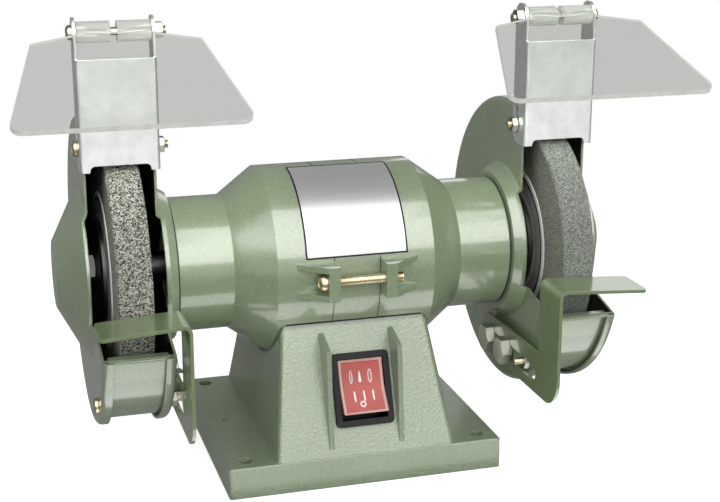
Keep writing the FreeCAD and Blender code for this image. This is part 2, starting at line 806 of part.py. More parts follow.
def make_capacitor():
    can = lengthwise("Cylinder", "capacitor", "-capacitor_length / 2", "capacitor_length", "capacitor_place",
                     "capacitor_z", Radius="capacitor_diameter / 2")
    node(can, "capacitor")

    clip = body("capacitor_clip")
    move(clip, 0, "capacitor_place", "capacitor_z")
    inner = "capacitor_diameter / 2 + clip_gap"
    outer = f"{inner} + clip_sheet"
    start = "-clip_width / 2"
    seat = "cover_recess - capacitor_z"
    pad(clip, circles(clip, "YZ_Plane", [(0, 0)], outer, start), "clip_width")
    feet = rectangle(clip, "YZ_Plane", f"-({outer} + clip_foot)", f"{outer} + clip_foot", seat,
                     f"{seat} + clip_sheet", start)
    pad(clip, feet, "clip_width")
    pad(clip, rectangle(clip, "YZ_Plane", f"-({outer})", outer, seat, 0, start), "clip_width")
    pocket(clip, circles(clip, "YZ_Plane", [(0, 0)], inner, "clip_width / 2"), "clip_width")
    opening = rectangle(clip, "YZ_Plane", f"-({inner})", inner, f"{seat} - 1", 0, "clip_width / 2")
    pocket(clip, opening, "clip_width")


# Motor

def guard_screw_places():
    """Where the three screws of a guard's back plate stand around the spindle."""
    angles = (90, 210, 330)
    return [(f"guard_screw_circle * cos({angle})", f"guard_screw_circle * sin({angle})") for angle in angles]


def make_end_bell(side, sign):
    bell = spindle_body(side + "_end_bell")
    revolve(bell, [
        ("bell_start", "motor_radius"),
        ("bell_straight_end", "motor_radius"),
        ("bell_cone_end", "boss_radius"),
        ("boss_end - boss_edge", "boss_radius"),
        ("boss_end", "boss_radius - boss_edge"),
        ("boss_end", "bearing_seat + spindle_gap"),
        ("bearing_end + fit", "bearing_seat + spindle_gap"),
        ("bearing_end + fit", "bearing_radius + fit"),
        ("bearing_start - 1", "bearing_radius + fit"),
        ("bearing_start - 1", "boss_radius - bell_wall"),
        ("bell_cone_end", "boss_radius - bell_wall"),
        ("bell_straight_end - 1", "bell_bore"),
        ("core_end + fit", "bell_bore"),
        ("core_end + fit", "core_radius + fit"),
        ("bell_start", "core_radius + fit"),
    ], sign)

    # Clamp lugs at front and rear, each between two ribs
    for _, facing in ENDS:
        start = low_end(sign, "bell_start", "lug_end")
        root = f"{facing} * (motor_radius - bell_wall / 4)"
        tip = f"{facing} * lug_top"
        lug = rectangle(bell, "YZ_Plane", root, tip, "-lug_height / 2", "lug_height / 2", start)
        pad(bell, lug, "lug_thickness")
        for up in (-1, 1):
            rib = polygon(bell, "XY_Plane", [
                (f"{sign} * (lug_end - 1)", tip),
                (f"{sign} * (lug_end)", tip),
                (f"{sign} * (lug_end + lug_rib_run)", root),
                (f"{sign} * (lug_end - 1)", root),
            ], f"{up} * (lug_height - lug_rib) / 2 - lug_rib / 2")
            pad(bell, rib, "lug_rib")
    holes = [(f"{facing} * tie_screw_place", 0) for _, facing in ENDS]
    pocket(bell, circles(bell, "YZ_Plane", holes, "tie_screw / 2 + screw_gap", "lug_top"), "2 * lug_top")

    # Tapped holes for the guard screws and the motor screw
    far = low_end(sign, "boss_end", "boss_end - guard_screw_length")
    tapped = circles(bell, "YZ_Plane", guard_screw_places(), "guard_screw / 2 + screw_gap", far)
    pocket(bell, tapped, "guard_screw_length")
    tapped = circles(bell, "XY_Plane", [(f"{sign} * mount_screw_place", 0)], "mount_screw / 2 + screw_gap",
                     "-bell_bore + bell_wall")
    pocket(bell, tapped, "3 * bell_wall")


def make_stator():
    core = spindle_body("stator_core")
    revolve(core, [
        ("-core_end", "stator_bore"),
        ("-core_end", "core_radius"),
        ("-bell_start", "core_radius"),
        ("-bell_start", "motor_radius"),
        ("bell_start", "motor_radius"),
        ("bell_start", "core_radius"),
        ("core_end", "core_radius"),
        ("core_end", "stator_bore"),
    ])
    slot = rectangle(core, "YZ_Plane", "-slot_width / 2", "slot_width / 2", "stator_bore - 2",
                     "stator_bore + slot_depth", "core_end")
    first = pocket(core, slot, "2 * core_end")
    pattern = core.newObject("PartDesign::PolarPattern", "stator_slot_pattern")
    pattern.Originals = [first]
    pattern.Axis = (next(item for item in core.Origin.OriginFeatures if item.Role == "X_Axis"), [""])
    bind(pattern, Angle="360", Occurrences="stator_slots")
    core.Tip = pattern

    coils = []
    for side, sign in SIDES:
        ring = on_spindle(doc.addObject("PartDesign::Body", side + "_winding"))
        revolve(ring, [
            ("core_end", "winding_inner"),
            ("core_end", "winding_outer"),
            ("core_end + winding_length - winding_corner", "winding_outer"),
            ("core_end + winding_length", "winding_outer - winding_corner"),
            ("core_end + winding_length", "winding_inner + winding_corner"),
            ("core_end + winding_length - winding_corner", "winding_inner"),
        ], sign)
        coils.append(ring)
    group("stator_windings", coils)


def make_rotor():
    core = spindle_body("rotor_core")
    revolve(core, [
        ("-core_end", "spindle_middle + fit"),
        ("-core_end", "rotor_radius"),
        ("core_end", "rotor_radius"),
        ("core_end", "spindle_middle + fit"),
    ])
    rings = []
    for side, sign in SIDES:
        ring = on_spindle(doc.addObject("PartDesign::Body", side + "_end_ring"))
        revolve(ring, [
            ("core_end", "end_ring_bore"),
            ("core_end", "rotor_radius - 1"),
            ("core_end + end_ring_length - 2", "rotor_radius - 1"),
            ("core_end + end_ring_length", "rotor_radius - 3"),
            ("core_end + end_ring_length", "end_ring_bore"),
        ], sign)
        rings.append(ring)
    group("rotor_end_rings", rings)

    spindle = spindle_body("spindle")
    half = [
        ("bearing_start", "spindle_middle"),
        ("bearing_start", "bearing_seat"),
        ("flange_inner_start", "bearing_seat"),
        ("flange_inner_start", "wheel_seat"),
        ("spindle_end - 1", "wheel_seat"),
        ("spindle_end", "wheel_seat - 1"),
        ("spindle_end", 0),
    ]
    other = [(f"-({along})", radius) for along, radius in reversed(half)]
    revolve(spindle, other + half)


def make_bearings():
    outer, inner, balls = [], [], []
    for side, sign in SIDES:
        start, end = "bearing_start", "bearing_end"
        for name, low, high, rings in (
            ("outer", "bearing_outer_race", "bearing_radius", outer),
            ("inner", "bearing_seat + fit", "bearing_inner_race", inner),
        ):
            ring = on_spindle(doc.addObject("PartDesign::Body", f"{side}_{name}_ring"))
            revolve(ring, [(start, low), (start, high), (end, high), (end, low)], sign)
            rings.append(ring)
        for index in range(SIZES["ball_count"]):
            angle = f"{index} * 360 / ball_count"
            ball = solid("Sphere", f"{side}_ball_{index}", Radius="ball_radius")
            move(ball, f"{sign} * (bearing_start + bearing_width / 2)",
                 f"shaft_offset + ball_circle * cos({angle})", f"shaft_height + ball_circle * sin({angle})")
            balls.append(ball)
    group("bearing_outer_rings", outer)
    group("bearing_inner_rings", inner)
    group("bearing_balls", balls)


def make_motor_screws():
    ties = []
    for end, facing in ENDS:
        y = f"{facing} * tie_screw_place"
        head = rod(end + "_tie_head", 1, "-lug_end - tie_screw_head_height", "-lug_end", "tie_screw_head / 2",
                   y, 0)
        shank = rod(end + "_tie_shank", 1, "-lug_end", "lug_end + tie_screw_tail", "tie_screw / 2", y, 0)
        ties.append(fused(end + "_tie_screw", head, shank))
    on_spindle(group("tie_screws", ties))

    mounts = []
    for side, sign in SIDES:
        x = f"{sign} * mount_screw_place"
        head = solid("Prism", side + "_mount_head", Circumradius="mount_screw_flats / sqrt(3)",
                     Height="mount_screw_head_height")
        head.Polygon = 6
        move(head, x, "shaft_offset", "roof - mount_screw_head_height")
        shank = solid("Cylinder", side + "_mount_shank", Radius="mount_screw / 2",
                      Height="saddle_floor + bell_wall")
        move(shank, x, "shaft_offset", "roof")
        mounts.append(fused(side + "_mount_screw", head, shank))
    group("motor_mount_screws", mounts)


def make_name_plate():
    """A bare plate bent round the upper front of the motor."""
    shells = []
    for name, radius in (("plate_outside", "motor_radius + plate_gap + plate_sheet"),
                         ("plate_inside", "motor_radius + plate_gap")):
        shell = solid("Cylinder", name, Radius=radius, Height="plate_width", Angle="plate_sweep")
        shells.append(turn(shell, (0, 0, 1), "270 - plate_start - plate_sweep"))
    plate = node(cut("name_plate", *shells), "name_plate")
    plate.Placement.Rotation = FreeCAD.Rotation(FreeCAD.Vector(0, 1, 0), 90)
    move(plate, "-plate_width / 2", "shaft_offset", "shaft_height")


# Wheels

def make_wheel(side, sign):
    wheel = spindle_body(side + "_wheel")
    bore = "wheel_seat + fit"
    revolve(wheel, [
        ("wheel_start", bore),
        ("wheel_start", "wheel_radius - wheel_edge"),
        ("wheel_start + wheel_edge", "wheel_radius"),
        ("wheel_end - wheel_edge", "wheel_radius"),
        ("wheel_end", "wheel_radius - wheel_edge"),
        ("wheel_end", bore),
    ], sign)

    papers = []
    for name, start in (("inner", "wheel_start - blotter"), ("outer", "wheel_end")):
        paper = on_spindle(doc.addObject("PartDesign::Body", f"{side}_{name}_blotter"))
        end = f"{start} + blotter"
        revolve(paper, [
            (start, bore),
            (start, "blotter_radius"),
            (end, "blotter_radius"),
            (end, bore),
        ], sign)
        papers.append(paper)
    group(side + "_blotters", papers)

    for name, base, away in (
        ("inner", "wheel_start - blotter", -1),
        ("outer", "wheel_end + blotter", 1),
    ):
        flange = spindle_body(f"{side}_{name}_flange")
        revolve(flange, [
            (f"{base} + {away} * flange_relief", bore),
            (f"{base} + {away} * flange_relief", "flange_relief_radius"),
            (base, "flange_relief_radius + flange_relief"),
            (base, "flange_radius"),
            (f"{base} + {away} * flange_thickness / 2", "flange_radius"),
            (f"{base} + {away} * flange_thickness * 0.8", "flange_radius - 1"),
            (f"{base} + {away} * flange_thickness", "flange_hub"),
            (f"{base} + {away} * flange_thickness", bore),
        ], sign)

    blank = hexagon(side + "_nut_blank", sign, "nut_start", "nut_start + nut_height", "nut_flats", 0, 0)
    bore_tool = rod(side + "_nut_bore", sign, "nut_start - 1", "nut_start + nut_height + 1", bore, 0, 0)
    nut = node(cut(side + "_spindle_nut", blank, bore_tool), side + "_spindle_nut")
    on_spindle(nut)


# Wheel guards

def cut_mouth(owner, sign):
    """Open the front of a guard piece from its upper edge to its front corner."""
    beyond = "guard_radius + 5"
    mouth = polygon(owner, "YZ_Plane", [
        ("-mouth_edge", beyond),
        ("-mouth_edge", 0),
        ("-cheek_forward", "-cheek_drop"),
        ("-corner_forward", "-corner_drop"),
        (f"-({beyond})", "-corner_drop"),
        (f"-({beyond})", beyond),
    ], low_end(sign, "guard_outer + bulge_depth + 1", "boss_end - 1"))
    pocket(owner, mouth, "guard_depth")


def through_places():
    return [
        ("top", "-top_screw_forward", "top_screw_up"),
        ("front", "-front_screw_forward", "-front_screw_drop"),
        ("rear", "rear_screw_back", "-rear_screw_drop"),
    ]


def drill(owner, sign, places, radius):
    """Holes along X through a guard piece."""
    start = low_end(sign, "guard_outer + bulge_depth + 1", "boss_end - 1")
    pocket(owner, circles(owner, "YZ_Plane", places, radius, start), "guard_depth")


def make_guard(side, sign):
    back = spindle_body(side + "_guard_back_plate")
    cone_out = "boss_end + (hub_edge - hub_flat) * dish_rate"
    cone_in = "boss_end + guard_sheet + (hub_edge - hub_flat + dish_inset) * dish_rate"
    revolve(back, [
        (cone_out, "hub_edge"),
        ("guard_inner", "hub_foot"),
        ("guard_inner", "guard_radius"),
        ("guard_inner + guard_lip", "guard_radius"),
        ("guard_inner + guard_lip", "guard_radius - guard_sheet"),
        ("inner_face", "guard_radius - guard_sheet"),
        ("inner_face", "hub_foot - dish_inset"),
        (cone_in, "hub_edge"),
    ], sign)
    round_rims(back, "guard_edge", f"{sign} * guard_inner", "guard_radius")
    round_rims(back, "guard_edge - guard_sheet", f"{sign} * inner_face", "guard_radius - guard_sheet")
    cut_mouth(back, sign)
    revolve(back, [
        ("boss_end", "hub_hole"),
        ("boss_end", "hub_flat"),
        (cone_out, "hub_edge"),
        (cone_in, "hub_edge"),
        ("boss_end + guard_sheet", "hub_flat - dish_inset"),
        ("boss_end + guard_sheet", "hub_hole"),
    ], sign)
    through = [(y, z) for name, y, z in through_places()]
    drill(back, sign, through, "through_screw / 2 + through_hole_gap")
    drill(back, sign, guard_screw_places(), "guard_screw / 2 + through_hole_gap")
    bolts = [(f"-{place}", "-rest_slot_up") for place in ("rest_bolt_front", "rest_bolt_rear")]
    seats = circles(back, "YZ_Plane", bolts, "rest_bolt / 2 + rest_pad_rim",
                    low_end(sign, "guard_inner - rest_pad", "guard_inner + guard_sheet / 2"))
    pad(back, seats, "rest_pad + guard_sheet / 2")
    drill(back, sign, bolts, "rest_bolt / 2 + rest_bolt_gap")

    cover = spindle_body(side + "_guard_cover")
    edge_out = "guard_outer + (bulge_foot - bulge_edge) * bulge_rate"
    edge_in = "outer_face + (bulge_foot - bulge_inset - bulge_edge) * bulge_rate"
    revolve(cover, [
        ("guard_outer - guard_lip", "guard_radius"),
        ("guard_outer", "guard_radius"),
        ("guard_outer", "bulge_foot"),
        (edge_out, "bulge_edge"),
        (edge_in, "bulge_edge"),
        ("outer_face", "bulge_foot - bulge_inset"),
        ("outer_face", "guard_radius - guard_sheet"),
        ("guard_outer - guard_lip", "guard_radius - guard_sheet"),
    ], sign)
    round_rims(cover, "guard_edge", f"{sign} * guard_outer", "guard_radius")
    round_rims(cover, "guard_edge - guard_sheet", f"{sign} * outer_face", "guard_radius - guard_sheet")
    cut_mouth(cover, sign)
    revolve(cover, [
        (edge_in, "bulge_edge"),
        (edge_out, "bulge_edge"),
        ("guard_outer + bulge_depth", "bulge_flat"),
        ("guard_outer + bulge_depth", 0),
        ("outer_face + bulge_depth", 0),
        ("outer_face + bulge_depth", "bulge_flat - bulge_inset"),
    ], sign)
    drill(cover, sign, through, "through_screw / 2 + through_hole_gap")

    rim = spindle_body(side + "_guard_rim")
    revolve(rim, [
        ("inner_face", "rim_radius - rim_sheet"),
        ("inner_face", "rim_radius"),
        ("outer_face", "rim_radius"),
        ("outer_face", "rim_radius - rim_sheet"),
    ], sign)
    cut_mouth(rim, sign)
    lip = rectangle(rim, "YZ_Plane", "-rim_lip_front", "-rim_lip_back", "-(corner_drop + rim_lip_thickness)",
                    "-corner_drop", low_end(sign, "inner_face + rim_lip_end", "outer_face - rim_lip_end"))
    pad(rim, lip, "outer_face - inner_face - 2 * rim_lip_end")
    round_edges(rim, "rim_lip_thickness * 0.45",
                lambda middle, line: along_x(line) and near(middle.y, "-rim_lip_front"))


def make_guard_fasteners(side, sign):
    screws = []
    seat = "boss_end + guard_sheet"
    for index, (y, z) in enumerate(guard_screw_places()):
        head = rod(f"{side}_guard_head_{index}", sign, seat, f"{seat} + guard_screw_head_height",
                   "guard_screw_head / 2", y, z)
        shank = rod(f"{side}_guard_shank_{index}", sign, "boss_end - guard_screw_length + 1", seat,
                    "guard_screw / 2", y, z)
        screws.append(fused(f"{side}_guard_screw_{index}", head, shank))
    on_spindle(group(side + "_guard_screws", screws))

    screws, nuts = [], []
    for name, y, z in through_places():
        on_spark = name == "top"
        seat = "leg_outer_out + rest_gap" if on_spark else "guard_outer"
        nut_seat = "leg_inner_out - rest_gap" if on_spark else "guard_inner"
        head = rod(f"{side}_{name}_head", sign, seat, f"{seat} + through_head_height",
                   "through_head / 2", y, z)
        shank = rod(f"{side}_{name}_shank", sign, f"{seat} - through_length", seat,
                    "through_screw / 2", y, z)
        screws.append(fused(f"{side}_{name}_screw", head, shank))
        blank = hexagon(f"{side}_{name}_blank", sign, f"{nut_seat} - through_nut_height", nut_seat,
                        "through_nut_flats", y, z)
        hole = rod(f"{side}_{name}_hole", sign, f"{nut_seat} - 2 * through_nut_height", f"{nut_seat} + 1",
                   "through_screw / 2 + fit", y, z)
        nuts.append(cut(f"{side}_{name}_nut", blank, hole))
    on_spindle(group(side + "_cover_screws", screws))
    on_spindle(group(side + "_cover_nuts", nuts))


# Spark guards and eye shields

def make_spark_guard(side, sign):
    bracket = spindle_body(side + "_spark_guard")
    front = "-(spark_face + spark_sheet)"
    channel = polygon(bracket, "XY_Plane", [
        (f"{sign} * leg_inner_out", "-leg_back"),
        (f"{sign} * leg_inner_out", front),
        (f"{sign} * leg_outer_out", front),
        (f"{sign} * leg_outer_out", "-leg_back"),
        (f"{sign} * leg_outer_in", "-leg_back"),
        (f"{sign} * leg_outer_in", "-spark_face"),
        (f"{sign} * leg_inner_in", "-spark_face"),
        (f"{sign} * leg_inner_in", "-leg_back"),
    ], "spark_bottom")
    pad(bracket, channel, "leg_top - spark_bottom")
    round_edges(bracket, "spark_bend", lambda middle, line: along_z(line) and near(middle.y, front))

    # Face trimmed above, notched over the wheel below
    middle = f"{sign} * guard_middle"
    half = "(leg_outer_out - leg_inner_out)"
    window = rectangle(bracket, "XZ_Plane", f"{middle} - {half}", f"{middle} + {half}", "spark_face_top",
                       "leg_top + 1", "spark_face + 2 * spark_sheet")
    pocket(bracket, window, "spark_sheet + spark_bend")
    notch = rectangle(bracket, "XZ_Plane", f"{middle} - spark_notch_width / 2",
                      f"{middle} + spark_notch_width / 2", "spark_bottom - 1",
                      "spark_bottom + spark_notch_height", "spark_face + 2 * spark_sheet")
    pocket(bracket, notch, "2 * spark_sheet + spark_bend")

    round_edges(bracket, "spark_notch_corner", lambda mid, line: abs(line.y) > 0.999
                and near(mid.z, "spark_bottom + spark_notch_height"))
    round_edges(bracket, "spark_leg_corner", lambda mid, line: along_x(line) and near(mid.y, "-leg_back")
                and near(mid.z, "spark_bottom"))
    round_edges(bracket, "(spark_leg + spark_sheet - spark_bend) / 2 - 0.1",
                lambda mid, line: along_x(line) and near(mid.z, "leg_top"))

    # Slots for the clamping screw, holes for the shield pin
    across = "leg_outer_out + 1"
    start = low_end(sign, across, "leg_inner_out - 1")
    length = f"{across} - leg_inner_out + 1"
    low, high = "top_screw_up - spark_rise", "top_screw_up + spark_drop"
    slot = rectangle(bracket, "YZ_Plane", "-top_screw_forward - spark_slot / 2",
                     "-top_screw_forward + spark_slot / 2", low, high, start)
    pocket(bracket, slot, length)
    for place in (low, high):
        slot_end = circles(bracket, "YZ_Plane", [("-top_screw_forward", place)], "spark_slot / 2", start)
        pocket(bracket, slot_end, length)
    pins = circles(bracket, "YZ_Plane", [("-pin_forward", "pin_up")], "pin_diameter / 2 + pin_hole_gap",
                   start)
    pocket(bracket, pins, length)

    tail = "leg_inner_out - pin_nut_height - pin_tail"
    head = rod(side + "_pin_head", sign, "leg_outer_out", "leg_outer_out + pin_head_height", "pin_head / 2",
               "-pin_forward", "pin_up")
    shank = rod(side + "_pin_shank", sign, tail, "leg_outer_out", "pin_diameter / 2", "-pin_forward",
                "pin_up")
    pin = node(fused(side + "_shield_pin", head, shank), side + "_shield_pin")
    on_spindle(pin)
    blank = hexagon(side + "_pin_nut_blank", sign, "leg_inner_out - pin_nut_height", "leg_inner_out",
                    "pin_nut_flats", "-pin_forward", "pin_up")
    hole = rod(side + "_pin_nut_hole", sign, tail, "leg_inner_out + 1", "pin_diameter / 2 + fit",
               "-pin_forward", "pin_up")
    on_spindle(node(cut(side + "_shield_nut", blank, hole), side + "_shield_nut"))


def make_eye_shield(side, sign):
    """A clear sheet with two loops rolled round the pin, drawn level and then tipped forward."""
    shield = body(side + "_eye_shield")
    turn(shield, (1, 0, 0), side + "_shield_droop")
    move(shield, 0, "shaft_offset - pin_forward", "shaft_height + pin_up")
    middle = f"{sign} * guard_middle"
    neck = "(loop_end - loop_start) / 2"
    top, bottom = "shield_top_width / 2", "shield_bottom_width / 2"
    sheet = polygon(shield, "XY_Plane", [
        (f"{middle} - {neck}", 0),
        (f"{middle} - {neck}", "-shield_neck"),
        (f"{middle} - {top}", "-shield_shoulder"),
        (f"{middle} - {bottom}", "-shield_shoulder - shield_length"),
        (f"{middle} + {bottom}", "-shield_shoulder - shield_length"),
        (f"{middle} + {top}", "-shield_shoulder"),
        (f"{middle} + {neck}", "-shield_neck"),
        (f"{middle} + {neck}", 0),
    ], "loop_inner")
    pad(shield, sheet, "shield_sheet")
    round_edges(shield, "shield_corner", lambda mid, line: along_z(line)
                and mid.y < value("-shield_shoulder - 1"))
    start = low_end(sign, "loop_start", "loop_end")
    pad(shield, circles(shield, "YZ_Plane", [(0, 0)], "loop_outer", start), "loop_end - loop_start")
    eye = circles(shield, "YZ_Plane", [(0, 0)], "loop_inner", f"{start} + loop_end - loop_start + 1")
    pocket(shield, eye, "loop_end - loop_start + 2")
    split = rectangle(shield, "XY_Plane", f"{middle} - shield_split / 2", f"{middle} + shield_split / 2",
                      "-shield_split_length", "loop_outer + 1", "loop_outer + 1")
    pocket(shield, split, "2 * loop_outer + 2")


# Tool rests

def make_tool_rest(side, sign):
    rest = spindle_body(side + "_tool_rest")
    section = polygon(rest, "XZ_Plane", [
        (f"{sign} * rest_inner", "-rest_arm_bottom"),
        (f"{sign} * rest_face", "-rest_arm_bottom"),
        (f"{sign} * rest_face", "-table_under"),
        (f"{sign} * rest_table_end", "-table_under"),
        (f"{sign} * rest_table_end", "-rest_table_drop"),
        (f"{sign} * rest_inner", "-rest_table_drop"),
    ], "-rest_arm_rear")
    pad(rest, section, "rest_arm_rear + rest_front + rest_table_skew")
    round_edges(rest, "rest_bend", lambda mid, line: near(mid.z, "-rest_table_drop")
                and near(mid.x, f"{sign} * rest_inner"))
    round_edges(rest, "rest_bend - rest_sheet", lambda mid, line: near(mid.z, "-table_under")
                and near(mid.x, f"{sign} * rest_face"))

    # Outline of the blank: clear behind the leg, then the slanting front and back of the table
    clear = rectangle(rest, "YZ_Plane", "-rest_back", "rest_arm_rear + 1", "-rest_arm_top", 0,
                      low_end(sign, "rest_table_end + 1", "rest_inner - 1"))
    pocket(rest, clear, "rest_table_end - rest_inner + 2")
    straight = f"{sign} * (rest_inner + rest_bend)"
    beyond = f"{sign} * (rest_table_end + 1)"
    foremost = "-(rest_front + rest_table_skew + 1)"
    back = polygon(rest, "XY_Plane", [
        (straight, "-rest_back"),
        (beyond, "-rest_back"),
        (beyond, "-rest_back - rest_table_skew"),
    ])
    pocket(rest, back, "rest_arm_top")
    front = polygon(rest, "XY_Plane", [
        (f"{sign} * (rest_inner - 1)", "-rest_front"),
        (straight, "-rest_front"),
        (beyond, "-rest_front - rest_table_skew"),
        (beyond, foremost),
        (f"{sign} * (rest_inner - 1)", foremost),
    ])
    pocket(rest, front, "2 * rest_arm_bottom")
    round_edges(rest, "rest_front_corner", lambda mid, line: along_x(line) and near(mid.y, "-rest_front")
                and near(mid.z, "-rest_arm_bottom"))
    round_edges(rest, "rest_rear_corner", lambda mid, line: along_x(line) and near(mid.y, "rest_arm_rear"))
    round_edges(rest, "rest_table_corner", lambda mid, line: along_z(line)
                and near(mid.x, f"{sign} * rest_table_end"))
    start = low_end(sign, "rest_face + 1", "rest_inner - 1")
    length = "rest_sheet + 2"
    half = "rest_bolt / 2 + rest_bolt_gap"
    slot = rectangle(rest, "YZ_Plane", "-rest_slot_front", "rest_slot_rear", f"-rest_slot_up - ({half})",
                     f"-rest_slot_up + {half}", start)
    pocket(rest, slot, length)
    for place in ("-rest_slot_front", "rest_slot_rear"):
        pocket(rest, circles(rest, "YZ_Plane", [(place, "-rest_slot_up")], half, start), length)

    bolts, nuts = [], []
    for place in ("front", "rear"):
        y, z = f"-rest_bolt_{place}", "-rest_slot_up"
        head = hexagon(f"{side}_rest_head_{place}", sign, "bolt_seat - rest_bolt_head", "bolt_seat",
                       "rest_bolt_flats", y, z)
        shank = rod(f"{side}_rest_shank_{place}", sign, "bolt_seat", "inner_face + rest_nut_height",
                    "rest_bolt / 2", y, z)
        bolts.append(fused(f"{side}_rest_bolt_{place}", head, shank))
        blank = hexagon(f"{side}_rest_blank_{place}", sign, "inner_face", "inner_face + rest_nut_height",
                        "rest_bolt_flats", y, z)
        hole = rod(f"{side}_rest_hole_{place}", sign, "inner_face - 1", "inner_face + rest_nut_height + 1",
                   "rest_bolt / 2 + fit", y, z)
        nuts.append(cut(f"{side}_rest_nut_{place}", blank, hole))
    on_spindle(group(side + "_tool_rest_bolts", bolts))
    on_spindle(group(side + "_tool_rest_nuts", nuts))


def check_and_write():
    """Stop on any failed piece, then write each node to its own file."""
    doc.recompute()
    failed = [item.Label for item in doc.Objects if {"Invalid", "Error"} & set(item.State)]
    failed += [item.Label for item in nodes if item.Shape.isNull() or not item.Shape.isValid()]
    if failed:
        raise RuntimeError("failed pieces: " + ", ".join(failed))
    os.makedirs("parts", exist_ok=True)
    for item in nodes:
        item.Shape.exportStep(f"parts/{item.Label}.step")
    print(len(nodes), "nodes written")


make_pedestal()
make_bottom_cover()
make_switch()
make_gland()
make_capacitor()
for side_name, side_sign in SIDES:
    make_end_bell(side_name, side_sign)
make_stator()
make_rotor()
make_bearings()
make_motor_screws()
make_name_plate()
for side_name, side_sign in SIDES:
    make_wheel(side_name, side_sign)
    make_guard(side_name, side_sign)
    make_guard_fasteners(side_name, side_sign)
    make_spark_guard(side_name, side_sign)
    make_eye_shield(side_name, side_sign)
    make_tool_rest(side_name, side_sign)
check_and_write()
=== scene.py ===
import json
import math

import bpy
from mathutils import Matrix, Vector


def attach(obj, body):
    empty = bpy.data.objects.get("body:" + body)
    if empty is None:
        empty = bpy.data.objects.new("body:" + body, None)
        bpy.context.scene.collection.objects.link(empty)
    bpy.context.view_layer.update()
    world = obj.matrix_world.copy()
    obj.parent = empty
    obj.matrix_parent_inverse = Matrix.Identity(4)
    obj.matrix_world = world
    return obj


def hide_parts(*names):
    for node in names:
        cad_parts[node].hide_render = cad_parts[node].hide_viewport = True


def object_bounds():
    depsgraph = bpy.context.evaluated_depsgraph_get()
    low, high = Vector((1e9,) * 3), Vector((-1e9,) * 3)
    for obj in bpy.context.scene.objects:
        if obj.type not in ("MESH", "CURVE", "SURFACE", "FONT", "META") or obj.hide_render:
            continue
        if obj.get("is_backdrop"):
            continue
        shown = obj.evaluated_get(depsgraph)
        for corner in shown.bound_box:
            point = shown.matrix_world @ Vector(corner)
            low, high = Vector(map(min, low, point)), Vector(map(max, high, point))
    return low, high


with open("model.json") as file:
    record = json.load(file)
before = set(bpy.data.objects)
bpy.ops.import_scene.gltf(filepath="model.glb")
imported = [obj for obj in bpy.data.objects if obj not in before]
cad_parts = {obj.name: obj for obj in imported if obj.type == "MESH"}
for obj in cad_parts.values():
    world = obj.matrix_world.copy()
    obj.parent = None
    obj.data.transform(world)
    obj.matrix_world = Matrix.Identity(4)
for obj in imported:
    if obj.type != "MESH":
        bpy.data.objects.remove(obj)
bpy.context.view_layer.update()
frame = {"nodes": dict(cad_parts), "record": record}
nodes = frame["nodes"]

SIDES = (("left", -1), ("right", 1))

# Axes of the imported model, in millimetres: the spindle and the shield pins
MM = 0.001
AXIS_Y, AXIS_Z = 2.5, 100
PIN_Y, PIN_Z = -21.5, 218.5

# The spindle's axis, and radii about it at which a finish changes, in metres
SHAFT_Y, SHAFT_Z = AXIS_Y * MM, AXIS_Z * MM
BARREL = 0.0467
STATOR_SKIN = 0.0462
GUARD_WALL = 0.06
GUARD_RIM = 0.072
WHEEL_SIDE, WHEEL_RIM = 0.0612, 0.0619
LABEL_EDGE = 0.0362
LABEL_LINE, LABEL_LINE_HALF = 0.0355, 0.0007
LABEL_RING, LABEL_RING_HALF = 0.0272, 0.0004

# Radius of the shields' rolled loops about their pins, in metres
LOOP = 0.0065

BLACK = (0, 0, 0, 1)


def linked(name, data):
    """A new object in the scene."""
    item = bpy.data.objects.new(name, data)
    bpy.context.scene.collection.objects.link(item)
    return item


# Shader nodes

